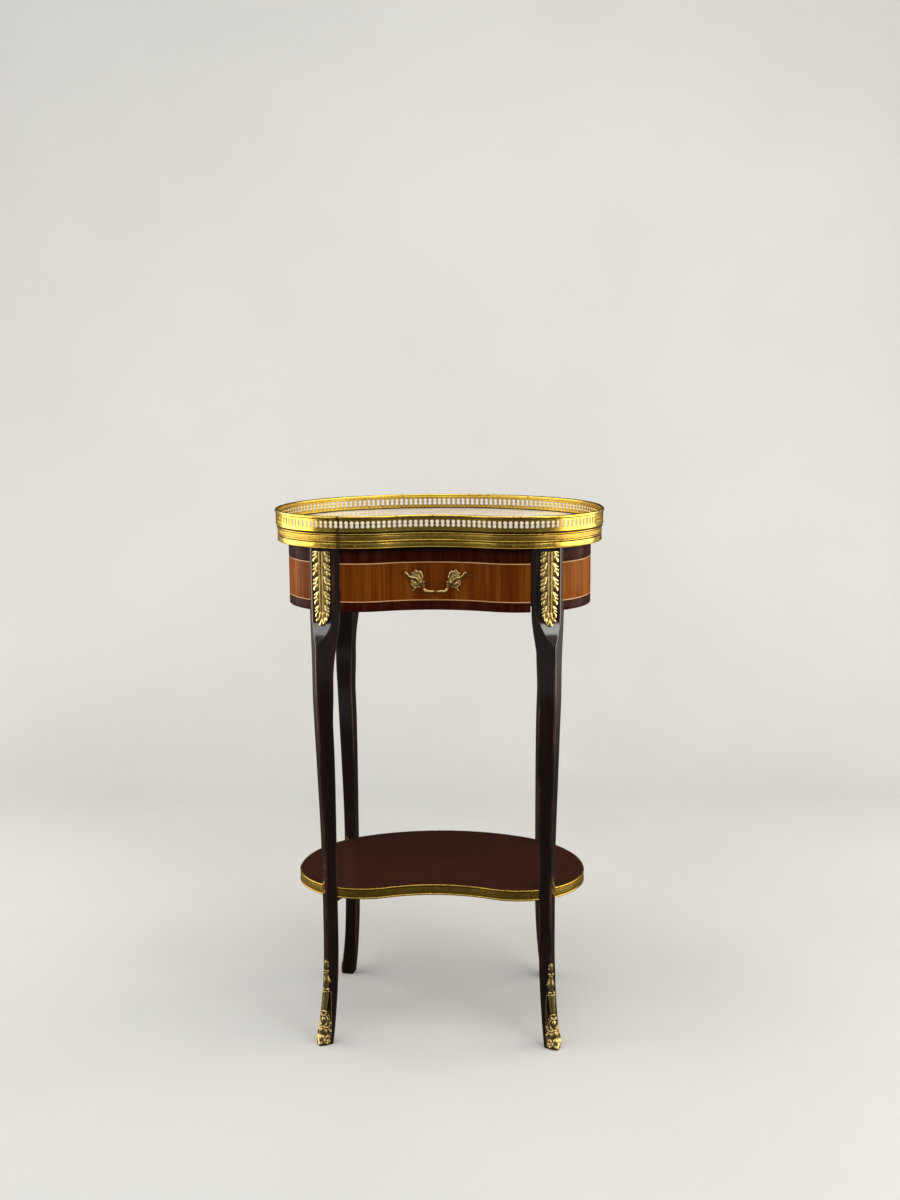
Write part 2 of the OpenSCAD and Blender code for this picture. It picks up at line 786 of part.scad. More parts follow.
module band_piece(p, q, mid) {
    module piece(d0, d1) {
        difference() {
            intersection() {
                band(d0, d1);
                wedge_between(p, q, mid);
            }
            all_ankles();
        }
    }
    color(brass)
        union() {
            slab(shelf_z0, shelf_z) piece(shelf_inset + band_sink, board_d);
            slab(shelf_z0, shelf_z0 + lip_h) piece(shelf_inset, board_d - 0.4);
            slab(shelf_z - lip_h, shelf_z) piece(shelf_inset, board_d - 0.4);
        }
}

module shelf_band_pins() {
    right = pin_places(shelf_inset + band_sink, -83, -50, 28);
    color(brass)
        for (p = concat(right, mirrored_places([for (i = [1:5]) right[i]])))
            brass_pin(p, shelf_z0 + shelf_t / 2, 5);
}

module shelf_blocks() {
    color(dark_wood)
        slab(shelf_z0 - block_h, shelf_z0)
            for (g = [FL, FR, BL, BR])
                difference() {
                    translate(corner(g, shelf_z) + (along(g) + across(g)) * (ankle_side + 1))
                        rotate(-g[0] * g[1] * g[4]) square([16, 16], center = true);
                    ankle_plan(g);
                }
}

module shelf_dowels() {
    color(oak)
        for (g = [FL, FR, BL, BR]) {
            c = corner(g, shelf_z) + (along(g) + across(g)) * ankle_side;
            d = outward(g);
            translate([c[0] - 10 * d[0], c[1] - 10 * d[1], shelf_z0 + shelf_t / 2])
                rotate([0, 0, atan2(d[1], d[0])])
                    rotate([0, 90, 0])
                        cylinder(h = 20, r = 3, $fn = 32);
        }
}

// A leaf mount on the chamfer of a post: lobed leaves on both sides of a stem with two ribs.
// Its rings follow the chamfer down to the point where it narrows.
chute_z1 = apron_z1 - 5.5;
chute_z0 = chute_z1 - chute_h;
chute_step = 3;
leaf_pitch = 14.6;
leaf_edge = 0.7;
chute_seat = 0.2;

function leaf_wave(z) = abs(sin(180 * (chute_z1 - z) / leaf_pitch + 60));
function leaf_taper(z) = let (t = (chute_z1 - z) / chute_h)
    (1 - 0.28 * pow(t, 3)) * sqrt(max(0.05, 1 - pow(max(0, (t - 0.86) / 0.145), 2)));
function leaf_half(z) = chute_w / 2 * leaf_taper(z) * (0.86 + 0.14 * leaf_wave(z));
function leaf_lift(z) = leaf_edge + chute_t * (0.26 + 0.3 * leaf_wave(z));

function chute_plan(g, z) = let (
    c = corner(g, z), p = c + along(g) * cut_in(z), q = c + across(g) * cut_out(z),
    e = (across(g) * chamfer_out - along(g) * chamfer_in) / norm([chamfer_in, chamfer_out]),
    n = [e[1], -e[0]] * (g[0] * g[1] < 0 ? 1 : -1),
    o = (p + q) / 2 + n * chute_seat, w = leaf_half(z), h = leaf_lift(z), r = min(2.2, w * 0.4)) [
    o - e * w, o - e * w + n * leaf_edge, o - e * (w * 0.6 + r * 0.4) + n * h,
    o - e * r * 1.5 + n * chute_t * 0.45, o - e * r + n * chute_t, o + n * chute_t * 0.66,
    o + e * r + n * chute_t, o + e * r * 1.5 + n * chute_t * 0.45, o + e * (w * 0.6 + r * 0.4) + n * h,
    o + e * w + n * leaf_edge, o + e * w];

module chute(g) {
    n = chute_h / chute_step;
    color(gilt)
        skin([for (i = [0:n]) let (z = chute_z0 + i * chute_step) lifted(chute_plan(g, z), z)],
            g[0] * g[1] > 0);
}

// A foot mount wraps the outer corner of the foot, in swelling scrolls and rings
function sabot_part(z) = 1 - z / sabot_h;
function sabot_wrap(z) = z <= 20 ? 11.5 - 0.05 * z
    : 3 + 6.6 * pow(sabot_part(z), 1.2) + 1.6 * abs(sin(z * 5.2));
function sabot_depth(z) = z <= 16 ? sabot_t
    : 1 + (sabot_t - 1.6) * sqrt(sabot_part(z)) + 0.8 * abs(sin(z * 7.4));
edge_t = 0.7;

function sabot_plan(g, z) = let (
    c = corner(g, z), u = along(g), v = across(g), w = sabot_wrap(z), t = sabot_depth(z)) [
    c + u * w, c + u * arris, c + v * arris, c + v * w,
    c + v * w - u * edge_t, c + v * w * 0.5 - u * t * 0.8, c - v * 0.2 * t - u * t * 0.9,
    c - u * 0.2 * t - v * t * 0.9, c + u * w * 0.5 - v * t * 0.8, c + u * w - v * edge_t];

module sabot(g) {
    color(gilt)
        skin([for (z = [0:sabot_step:sabot_h]) lifted(sabot_plan(g, z), z)], g[0] * g[1] < 0);
}

leg(FL);  // leg_front_left
leg(FR);  // leg_front_right
leg(BL);  // leg_back_left
leg(BR);  // leg_back_right
end_rail(-1);  // apron_end_left
end_rail(1);  // apron_end_right
back_rail();  // apron_back
field_veneer() end_wedge(-1);  // field_veneer_left
field_veneer() end_wedge(1);  // field_veneer_right
field_veneer() back_wedge();  // field_veneer_back
crossbands(apron_z1) end_wedge(-1);  // crossbands_left
crossbands(apron_z1) end_wedge(1);  // crossbands_right
crossbands(apron_z1) back_wedge();  // crossbands_back
stringing() end_wedge(-1);  // stringing_left
stringing() end_wedge(1);  // stringing_right
stringing() back_wedge();  // stringing_back
top_panel();
marble_top();
edge_moulding();
moulding_pins();
gallery_strip();
gallery_rim();
corner_blocks();
drawer_runner(-1);  // drawer_runner_left
drawer_runner(1);  // drawer_runner_right
side_guide(-1);  // side_guide_left
side_guide(1);  // side_guide_right
kicker(-1);  // kicker_left
kicker(1);  // kicker_right
drawer_stops();
drawer_front();
drawer_field_veneer();
drawer_crossbands();
drawer_stringing();
drawer_side(-1);  // drawer_side_left
drawer_side(1);  // drawer_side_right
drawer_back();
drawer_bottom();
handle_mount(-1);  // handle_mount_left
handle_mount(1);  // handle_mount_right
handle_bolts();
handle_nuts();
bail();
shelf_board();
band_piece(ankle_mid(FL), ankle_mid(FR), [0, -far]);  // shelf_band_front
band_piece(ankle_mid(FL), ankle_mid(BL), [-far, 0]);  // shelf_band_left
band_piece(ankle_mid(FR), ankle_mid(BR), [far, 0]);  // shelf_band_right
band_piece(ankle_mid(BL), ankle_mid(BR), [0, far]);  // shelf_band_back
shelf_band_pins();
shelf_blocks();
shelf_dowels();
chute(FL);  // chute_front_left
chute(FR);  // chute_front_right
chute(BL);  // chute_back_left
chute(BR);  // chute_back_right
sabot(FL);  // sabot_front_left
sabot(FR);  // sabot_front_right
sabot(BL);  // sabot_back_left
sabot(BR);  // sabot_back_right
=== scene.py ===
import math
import bpy
import bmesh
import numpy as np
from mathutils import Matrix


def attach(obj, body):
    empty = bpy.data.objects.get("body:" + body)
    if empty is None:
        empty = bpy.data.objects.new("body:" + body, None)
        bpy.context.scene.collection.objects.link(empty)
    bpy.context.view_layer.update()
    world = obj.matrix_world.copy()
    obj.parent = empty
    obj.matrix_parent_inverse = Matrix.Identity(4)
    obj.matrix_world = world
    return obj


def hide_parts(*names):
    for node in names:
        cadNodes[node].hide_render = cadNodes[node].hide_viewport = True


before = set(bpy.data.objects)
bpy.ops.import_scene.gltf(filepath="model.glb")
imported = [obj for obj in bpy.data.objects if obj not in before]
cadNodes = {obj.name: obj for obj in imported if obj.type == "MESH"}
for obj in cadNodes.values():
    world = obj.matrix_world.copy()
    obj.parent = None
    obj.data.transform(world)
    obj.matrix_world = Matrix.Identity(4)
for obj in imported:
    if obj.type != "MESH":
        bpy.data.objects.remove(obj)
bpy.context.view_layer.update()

scene = bpy.context.scene
print("frame loaded:", len(cadNodes), "nodes")

# All sizes are in millimetres until a mesh is made.
mm = 0.001


def fill(tree, item, sockets):
    # a socket is linked, and anything else is set as a constant
    for key, value in sockets.items():
        if isinstance(value, bpy.types.NodeSocket):
            tree.links.new(value, item.inputs[key])
        else:
            item.inputs[key].default_value = value
    return item


def put(tree, kind, sockets=None, **settings):
    # one shader node with its settings and sockets
    item = tree.nodes.new("ShaderNode" + kind)
    for key, value in settings.items():
        setattr(item, key, value)
    return fill(tree, item, sockets or {})


def maths(tree, operation, a, b=0.0, clamp=False):
    # one arithmetic node
    return put(tree, "Math", {0: a, 1: b}, operation=operation, use_clamp=clamp).outputs[0]


def times(tree, a, b):
    # a times b
    return maths(tree, "MULTIPLY", a, b)


def plus(tree, a, b):
    # a plus b
    return maths(tree, "ADD", a, b)


def minus(tree, a, b):
    # a minus b
    return maths(tree, "SUBTRACT", a, b)


def remap(tree, value, low, high, outLow=0.0, outHigh=1.0, smooth=False):
    # low to high becomes outLow to outHigh, in a straight line or eased at both ends
    item = put(tree, "MapRange", {0: value, 1: low, 2: high, 3: outLow, 4: outHigh})
    if smooth:
        item.interpolation_type = "SMOOTHSTEP"
    return item.outputs[0]


def mixed(tree, factor, a, b, blend="MIX"):
    # a * (1 - factor) + b * factor, or another blend; a written colour gets its alpha here
    a, b = ((*colour, 1.0) if isinstance(colour, tuple) else colour for colour in (a, b))
    return put(tree, "Mix", {0: factor, 6: a, 7: b}, data_type="RGBA", blend_type=blend).outputs[2]


def ramp(tree, value, places, colours):
    # a colour for each value, blended between the colours at their places
    item = put(tree, "ValToRGB", {0: value})
    marks = item.color_ramp.elements
    while len(marks) < len(places):
        marks.new(0.5)
    for mark, place, colour in zip(marks, places, colours):
        mark.position, mark.color = place, (*colour, 1.0)
    return item.outputs[0]


def noise(tree, vector, scale, detail=3.0, rough=0.5, distortion=0.0):
    # cloud noise from 0 to 1
    return put(tree, "TexNoise", {"Vector": vector, "Scale": scale, "Detail": detail, "Roughness": rough,
                                  "Distortion": distortion}).outputs["Fac"]


def stretched(tree, vector, scale, turn=(0.0, 0.0, 0.0), shift=(0.0, 0.0, 0.0)):
    # (vector turned * scale) + shift
    return put(tree, "Mapping",
               {"Vector": vector, "Scale": scale, "Rotation": turn, "Location": shift}).outputs[0]


def objectVector(tree):
    # the object's own coordinates, in metres
    return put(tree, "TexCoord").outputs["Object"]


def uvVector(tree):
    # metres along and across a strip
    return put(tree, "UVMap", uv_map="run").outputs[0]


def attributeValue(tree, name):
    # a value kept at each point of the mesh
    return put(tree, "Attribute", attribute_name=name).outputs["Fac"]


def newGroup(name, inputs, outputs):
    # a node group with its input and output sockets
    tree = bpy.data.node_groups.new(name, "ShaderNodeTree")
    for label, kind, value in inputs:
        socket = tree.interface.new_socket(name=label, in_out="INPUT", socket_type="NodeSocket" + kind)
        if value is not None:
            socket.default_value = value
    for label, kind in outputs:
        tree.interface.new_socket(name=label, in_out="OUTPUT", socket_type="NodeSocket" + kind)
    return tree, tree.nodes.new("NodeGroupInput").outputs, tree.nodes.new("NodeGroupOutput").inputs


def useGroup(tree, group, sockets):
    # a copy of a node group with its inputs filled
    return fill(tree, put(tree, "Group", node_tree=group), sockets).outputs


# Wood grain: the vector comes in with its grain already stretched along one axis.
# bands are the broad streaks of figure, fibres the fine lines, pores the short dark ticks.
def makeGrainGroup():
    tree, given, result = newGroup("woodGrain", [("Vector", "Vector", None), ("Streaks", "Float", 5.0),
                                                 ("Fineness", "Float", 40.0)],
                                   [("Bands", "Float"), ("Fibres", "Float"), ("Pores", "Float")])
    bands = noise(tree, given["Vector"], given["Streaks"], 4.0, 0.62, 0.6)
    fibres = noise(tree, given["Vector"], given["Fineness"], 3.0, 0.7, 0.2)
    ticks = put(tree, "TexVoronoi", {"Vector": given["Vector"], "Scale": times(tree, given["Fineness"], 2.2),
                                     "Randomness": 1.0}).outputs["Distance"]
    tree.links.new(remap(tree, bands, 0.28, 0.72, smooth=True), result["Bands"])
    tree.links.new(remap(tree, fibres, 0.25, 0.75), result["Fibres"])
    tree.links.new(remap(tree, ticks, 0.1, 0.22, 1.0, 0.0), result["Pores"])
    return tree


# Metal age: tone is the slow change from bright to brown, spots are small dark marks,
# rub is the fine unevenness of a hand-polished face.
def makeAgeGroup():
    tree, given, result = newGroup("metalAge", [("Vector", "Vector", None), ("Size", "Float", 20.0)],
                                   [("Tone", "Float"), ("Spots", "Float"), ("Rub", "Float")])
    tone = noise(tree, given["Vector"], given["Size"], 4.0, 0.6, 0.4)
    speck = noise(tree, given["Vector"], times(tree, given["Size"], 14.0), 2.0, 0.5)
    rub = noise(tree, given["Vector"], times(tree, given["Size"], 6.0), 5.0, 0.7, 0.8)
    tree.links.new(remap(tree, tone, 0.3, 0.7, smooth=True), result["Tone"])
    tree.links.new(remap(tree, speck, 0.62, 0.74), result["Spots"])
    tree.links.new(rub, result["Rub"])
    return tree


grainGroup = makeGrainGroup()
ageGroup = makeAgeGroup()


def newFinish(name, fixed):
    # a material with one shader whose constants are set on its sockets
    material = bpy.data.materials.new(name)
    material.use_nodes = True
    tree = material.node_tree
    tree.nodes.clear()
    shader = put(tree, "BsdfPrincipled", fixed)
    end = put(tree, "OutputMaterial")
    tree.links.new(shader.outputs[0], end.inputs[0])
    return material, tree, shader.inputs


def wire(tree, shader, links, height=None, depth=0.0001, strength=1.0):
    # links into the shader, with the height as a bump on its normal
    for key, value in links.items():
        tree.links.new(value, shader[key])
    if height is not None:
        bump = put(tree, "Bump", {"Strength": strength, "Distance": depth, "Height": height})
        tree.links.new(bump.outputs[0], shader["Normal"])


# Woods, each with its colours from dark to light. What a wood doesn't say is taken from asVeneer or asSolid.
# parts are the shares of bands, clouds and fibres in the tone; relief is (fibre's rise, depth in metres, part).
asVeneer = {"strip": True, "stops": (0.0, 0.5, 1.0), "coat": 0.04, "coatRough": 0.12, "coatIor": 1.5,
            "specular": 0.03, "streaks": 1.6, "fineness": 9.0, "parts": (0.62, 0.5, 0.3), "pores": 0.35,
            "poreTone": (0.03, 0.01, 0.005), "roughScale": 60.0, "relief": (0.4, 0.00004, 1.0)}
asSolid = {"strip": False, "stops": (0.0, 0.5, 1.0), "coat": 0.0, "coatRough": 0.3, "coatIor": 1.5,
           "specular": 0.15, "streaks": 0.9, "fineness": 5.5, "parts": (0.55, 0.45, 0.35), "pores": 0.4,
           "poreTone": (0.012, 0.006, 0.004), "roughScale": 45.0, "relief": (0.5, 0.00005, 0.75)}
veneers = {
    "fieldVeneer": {"colours": [(0.062, 0.011, 0.0006), (0.104, 0.021, 0.001), (0.145, 0.037, 0.002),
                                (0.2, 0.062, 0.006)],
                    "stops": (0.0, 0.42, 0.72, 1.0), "stretch": (44.0, 1.6, 1.0), "rough": (0.3, 0.44),
                    "sideLitTint": (1.85, 2.15, 2.6)},
    "crossbandWood": {"colours": [(0.011, 0.0012, 0.0005), (0.028, 0.0035, 0.0014), (0.056, 0.01, 0.004)],
                      "stretch": (60.0, 5.0, 1.0), "rough": (0.26, 0.4)},
    "stringingWood": {"colours": [(0.36, 0.17, 0.06), (0.54, 0.29, 0.12), (0.7, 0.44, 0.21)],
                      "stretch": (8.0, 90.0, 1.0), "rough": (0.25, 0.4), "coat": 0.4}}
solids = {
    "legMahogany": {"colours": [(0.0013, 0.0004, 0.0003), (0.0048, 0.001, 0.0006), (0.021, 0.0045, 0.0017)],
                    "stops": (0.0, 0.55, 1.0), "stretch": (130.0, 130.0, 7.0), "rough": (0.24, 0.38),
                    "coat": 1.0, "coatRough": 0.12, "coatIor": 1.68, "specular": 0.04, "pores": 0.12,
                    "edge": (0.17, 0.055, 0.017)},
    "shelfMahogany": {"colours": [(0.021, 0.0038, 0.002), (0.039, 0.0078, 0.004), (0.061, 0.015, 0.008)],
                      "stretch": (5.0, 150.0, 150.0), "rough": (0.3, 0.34), "coat": 0.18, "coatRough": 0.1,
                      "pores": 0.15},
    "drawerOak": {"colours": [(0.2, 0.1, 0.04), (0.37, 0.21, 0.095), (0.53, 0.34, 0.17)],
                  "stretch": (90.0, 6.0, 90.0), "rough": (0.5, 0.72)},
    "railOak": {"colours": [(0.11, 0.052, 0.022), (0.22, 0.118, 0.055), (0.34, 0.2, 0.1)],
                "stretch": (8.0, 8.0, 110.0), "rough": (0.55, 0.8)},
    "bottomOak": {"colours": [(0.22, 0.115, 0.05), (0.39, 0.23, 0.11), (0.5, 0.33, 0.18)],
                  "stretch": (6.0, 80.0, 80.0), "rough": (0.5, 0.75)},
    "blockWood": {"colours": [(0.016, 0.008, 0.006), (0.036, 0.018, 0.012), (0.07, 0.036, 0.022)],
                  "stretch": (70.0, 70.0, 9.0), "rough": (0.5, 0.7)}}
# Veneers are painted lighter from one limit of |x| to the next as painted side light, and darker just under the
# moulding as painted shade; legs are lighter at their edges, part wear and part painted highlight.
wearAndPaintedLight = {"sideLitFrom": 0.14, "sideLitTo": 0.19, "shadeUnderLow": 0.6615, "shadeUnderHigh": 0.669, "shadeUnder": 0.88,
        "shadeUnderTone": (0.002, 0.001, 0.001), "patch": (40.0, 40.0, 9.0), "edgeWearAndSheen": 0.55}


def makeWood(name, spec):
    # tone = part * bands + part * clouds + part * (fibres - half), coloured by the ramp
    material, tree, shader = newFinish(name, {"Coat Weight": spec["coat"], "Coat Roughness": spec["coatRough"],
                                              "Coat IOR": spec["coatIor"], "IOR": 1.48,
                                              "Specular IOR Level": spec["specular"]})
    place = objectVector(tree)
    run = uvVector(tree) if spec["strip"] else place
    grain = useGroup(tree, grainGroup, {"Vector": stretched(tree, run, spec["stretch"]),
                                        "Streaks": spec["streaks"], "Fineness": spec["fineness"]})
    if spec["strip"]:
        cloud = noise(tree, stretched(tree, run, (9.0, 0.8, 1.0), shift=(3.1, 0.7, 0.0)), 1.0, 2.0)
    else:
        cloud = noise(tree, place, 11.0, 2.0)
    bandPart, cloudPart, fibrePart = spec["parts"]
    tone = plus(tree, times(tree, grain["Bands"], bandPart), times(tree, cloud, cloudPart))
    tone = plus(tree, tone, times(tree, minus(tree, grain["Fibres"], 0.5), fibrePart))
    colour = ramp(tree, tone, spec["stops"], spec["colours"])
    colour = mixed(tree, times(tree, grain["Pores"], spec["pores"]), colour, spec["poreTone"])
    if spec["strip"]:
        x, _, z = put(tree, "SeparateXYZ", {0: place}).outputs
        # painted side light: the veneer is painted lighter towards the ends of the apron
        if "sideLitTint" in spec:
            ends = remap(tree, maths(tree, "ABSOLUTE", x), wearAndPaintedLight["sideLitFrom"], wearAndPaintedLight["sideLitTo"])
            colour = mixed(tree, ends, colour, spec["sideLitTint"], "MULTIPLY")
        # painted shade: the strips darken towards their top, just under the moulding
        high = plus(tree, z, times(tree, grain["Fibres"], 0.0015))
        under = remap(tree, high, wearAndPaintedLight["shadeUnderLow"], wearAndPaintedLight["shadeUnderHigh"], 0.0, wearAndPaintedLight["shadeUnder"])
        colour = mixed(tree, under, colour, wearAndPaintedLight["shadeUnderTone"])
    rough = remap(tree, noise(tree, run, spec["roughScale"], 4.0, 0.6), 0.3, 0.7, *spec["rough"])
    # the legs' edges are painted lighter in patches, part wear and part painted highlight
    if "edge" in spec:
        patches = remap(tree, noise(tree, stretched(tree, place, wearAndPaintedLight["patch"]), 1.0, 4.0, 0.65), 0.44, 0.66)
        wornAndLit = times(tree, attributeValue(tree, "edge"), patches)
        colour = mixed(tree, times(tree, wornAndLit, wearAndPaintedLight["edgeWearAndSheen"]), colour, spec["edge"])
    rise, depth, share = spec["relief"]
    relief = minus(tree, times(tree, grain["Fibres"], rise), grain["Pores"])
    wire(tree, shader, {"Base Color": colour, "Roughness": rough}, relief, depth, share * spec["pores"])
    return material


# Metals: lacquer or gilding worn to different tones, darker in hollows, part patina and part painted shade, and
# browner at the stain, if there is one.
asMetal = {"seam": 0.0, "hollow": 1.0}
stain = {"at": -0.1215, "ripple": 0.006, "from": -0.06, "full": -0.1, "tone": (0.13, 0.055, 0.025)}
metals = {
    "galleryBrass": {"bright": (0.94, 0.68, 0.13), "brown": (0.66, 0.4, 0.05), "dark": (0.012, 0.006, 0.002),
                     "age": 12.0, "rough": (0.16, 0.32), "seam": 0.003, "hollow": 0.95},
    "knurledBrass": {"bright": (0.92, 0.6, 0.11), "brown": (0.5, 0.28, 0.04), "dark": (0.035, 0.016, 0.004),
                     "age": 16.0, "rough": (0.18, 0.34), "seam": 0.0055},
    "shelfBrass": {"bright": (0.85, 0.58, 0.1), "brown": (0.5, 0.3, 0.045), "dark": (0.035, 0.016, 0.004),
                   "age": 18.0, "rough": (0.2, 0.38)},
    "giltBronze": {"bright": (0.98, 0.8, 0.34), "brown": (0.7, 0.48, 0.15), "dark": (0.05, 0.028, 0.006),
                   "age": 55.0, "rough": (0.16, 0.34)},
    "footBronze": {"bright": (0.76, 0.59, 0.25), "brown": (0.36, 0.235, 0.072), "dark": (0.02, 0.01, 0.003),
                   "age": 90.0, "rough": (0.2, 0.4)},
    "handleBronze": {"bright": (0.8, 0.6, 0.25), "brown": (0.42, 0.27, 0.09), "dark": (0.025, 0.012, 0.004),
                     "age": 60.0, "rough": (0.2, 0.4)},
    "pinBrass": {"bright": (0.4, 0.27, 0.09), "brown": (0.2, 0.12, 0.04), "dark": (0.03, 0.018, 0.008),
                 "age": 80.0, "rough": (0.3, 0.5), "hollow": 0.0},
    "boltSteel": {"bright": (0.55, 0.54, 0.5), "brown": (0.3, 0.27, 0.22), "dark": (0.1, 0.06, 0.03),
                  "age": 90.0, "rough": (0.3, 0.5), "hollow": 0.0},
}


def makeMetal(name, spec):
    # bright to brown by age, dark in hollows (part patina, part painted shade) and spots, with a stain across
    # the front where there is one
    material, tree, shader = newFinish(name, {"Metallic": 1.0})
    place = objectVector(tree)
    age = useGroup(tree, ageGroup, {"Vector": place, "Size": spec["age"]})
    colour = mixed(tree, times(tree, age["Tone"], 0.75), spec["bright"], spec["brown"])
    hollow = maths(tree, "MULTIPLY", attributeValue(tree, "hollow"), spec["hollow"], clamp=True)
    colour = mixed(tree, hollow, colour, spec["dark"])
    colour = mixed(tree, times(tree, age["Spots"], 0.6), colour, spec["dark"])
    rough = plus(tree, remap(tree, age["Rub"], 0.3, 0.7, *spec["rough"]), times(tree, hollow, 0.3))
    if spec["seam"]:
        axes = put(tree, "SeparateXYZ", {0: place}).outputs
        ripple = times(tree, minus(tree, noise(tree, place, 220.0, 3.0), 0.5), stain["ripple"])
        off = maths(tree, "ABSOLUTE", plus(tree, plus(tree, axes[0], -stain["at"]), ripple))
        near = remap(tree, off, spec["seam"] * 0.4, spec["seam"], 1.0, 0.0)
        dark = times(tree, near, remap(tree, axes[1], stain["from"], stain["full"]))
        colour = mixed(tree, times(tree, dark, 0.75), colour, stain["tone"])
    wire(tree, shader, {"Base Color": colour, "Roughness": rough}, age["Rub"], 0.00006, 0.25)
    return material


marbleTones = {"pale": (0.97, 0.91, 0.79), "cloud": (0.87, 0.81, 0.71), "vein": (0.6, 0.56, 0.54),
               "blush": (0.93, 0.8, 0.7)}


def makeMarble():
    # cream with a slow cloud, bent grey veins and a faint blush
    material, tree, shader = newFinish("whiteMarble", {"IOR": 1.5, "Coat Weight": 0.1, "Coat Roughness": 0.08,
                                                       "Specular IOR Level": 0.3})
    place = objectVector(tree)
    drift = put(tree, "TexNoise", {"Vector": place, "Scale": 7.0, "Detail": 4.0}).outputs["Color"]
    push = put(tree, "VectorMath", {0: drift, "Scale": 0.09}, operation="SCALE").outputs[0]
    bent = put(tree, "VectorMath", {0: place, 1: push}, operation="ADD").outputs[0]
    veins = put(tree, "TexWave", {"Vector": stretched(tree, bent, (1.0, 2.2, 1.0), (0.0, 0.0, 0.5)),
                                  "Scale": 3.4, "Distortion": 7.0, "Detail": 4.0, "Detail Scale": 1.6,
                                  "Detail Roughness": 0.6}).outputs["Fac"]
    greyVeins = remap(tree, veins, 0.0, 0.2, 1.0, 0.0)
    cloud = remap(tree, noise(tree, bent, 9.0, 5.0, 0.62), 0.38, 0.72)
    blush = remap(tree, noise(tree, place, 5.0, 3.0), 0.46, 0.66)
    colour = mixed(tree, times(tree, cloud, 0.35), marbleTones["pale"], marbleTones["cloud"])
    colour = mixed(tree, times(tree, greyVeins, 0.3), colour, marbleTones["vein"])
    colour = mixed(tree, times(tree, blush, 0.3), colour, marbleTones["blush"])
    rough = remap(tree, noise(tree, place, 60.0, 3.0), 0.3, 0.7, 0.16, 0.28)
    wire(tree, shader, {"Base Color": colour, "Roughness": rough},
         noise(tree, place, 300.0, 2.0), 0.00002, 0.15)
    return material


finishes = {}
for make, given, specs in ((makeWood, asVeneer, veneers), (makeWood, asSolid, solids),
                           (makeMetal, asMetal, metals)):
    finishes.update({name: make(name, {**given, **spec}) for name, spec in specs.items()})
finishes["whiteMarble"] = makeMarble()
print("finishes made:", len(finishes))


# Mesh building. A part is a dictionary of points, faces, uv (metres) and named values per point.
def part(points, faces, uv=None, **values):
    points = np.asarray(points, float).reshape(-1, 3)
    if uv is None:
        uv = points[:, :2] * mm
    return {"points": points, "faces": faces, "uv": np.asarray(uv, float).reshape(-1, 2),
            "values": {key: np.asarray(value, float).ravel() for key, value in values.items()}}


def joined(parts):
    # the parts' points and faces one after the other, with the face numbers moved on
    keys = {key for one in parts for key in one["values"]}
    start, faces = 0, []
    for one in parts:
        faces += [[corner + start for corner in face] for face in one["faces"]]
        start += len(one["points"])
    return {"points": np.vstack([one["points"] for one in parts]), "faces": faces,
            "uv": np.vstack([one["uv"] for one in parts]),
            "values": {key: np.concatenate([one["values"].get(key, np.zeros(len(one["points"])))
                                            for one in parts]) for key in keys}}


def clamp(value):
    # the value kept between 0 and 1
    return np.clip(value, 0, 1)


def unit(vectors):
    # each vector divided by its length
    return vectors / np.linalg.norm(vectors, axis=-1, keepdims=True)


def eased(t):
    # 3 t^2 - 2 t^3 between 0 and 1
    t = clamp(t)
    return t * t * (3 - 2 * t)


def dome(t, sharpness=0.5):
    # sin(pi t) to a power, for t from 0 to 1
    return clamp(np.sin(math.pi * t)) ** sharpness


def raised(flat, height):
    # points (x, y, height) from a grid of (x, y)
    return np.dstack([flat, np.broadcast_to(height, flat.shape[:2])])


def mirrored(one):
    # x becomes -x
    flipped = dict(one)
    flipped["points"] = one["points"] * np.array([-1.0, 1.0, 1.0])
    return flipped


def gridFaces(rows, cols):
    # four neighbours of each cell of a grid of rows by cols points
    first = (np.arange(rows - 1)[:, None] * cols + np.arange(cols - 1)).ravel()
    return np.stack([first, first + 1, first + cols + 1, first + cols], 1).tolist()


def endFaces(rows, cols):
    # the first and the last row of the grid, each as one face; the last column repeats the first
    return [list(range(cols - 1)), [(rows - 1) * cols + k for k in range(cols - 1)]]


def addPiece(name, shape, body, finish, stands, sharp=35.0):
    # the mesh in metres, welded, with its finish and body, and the nodes it replaces hidden
    mesh = bpy.data.meshes.new(name)
    mesh.from_pydata((shape["points"] * mm).tolist(), [], shape["faces"])
    corners = np.empty(len(mesh.loops), np.int32)
    mesh.loops.foreach_get("vertex_index", corners)
    layer = mesh.uv_layers.new(name="run")
    layer.data.foreach_set("uv", shape["uv"][corners].ravel())
    for key, value in shape["values"].items():
        mesh.attributes.new(key, "FLOAT", "POINT").data.foreach_set("value", value)
    work = bmesh.new()
    work.from_mesh(mesh)
    bmesh.ops.remove_doubles(work, verts=work.verts, dist=2e-6)
    bmesh.ops.dissolve_degenerate(work, edges=work.edges, dist=1e-7)
    bmesh.ops.recalc_face_normals(work, faces=work.faces)
    work.to_mesh(mesh)
    work.free()
    mesh.shade_smooth()
    mesh.set_sharp_from_angle(angle=math.radians(sharp))
    mesh.materials.append(finishes[finish])
    piece = bpy.data.objects.new(name, mesh)
    scene.collection.objects.link(piece)
    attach(piece, body)
    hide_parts(*stands)
    return piece


# The kidney outline: a hollow front curve, two lobes, two shoulders and a back curve.
outline = {"width": 436.0, "depth": 292.0, "dip": 20.0, "lobePart": 0.3921, "shoulderPart": 0.5634}


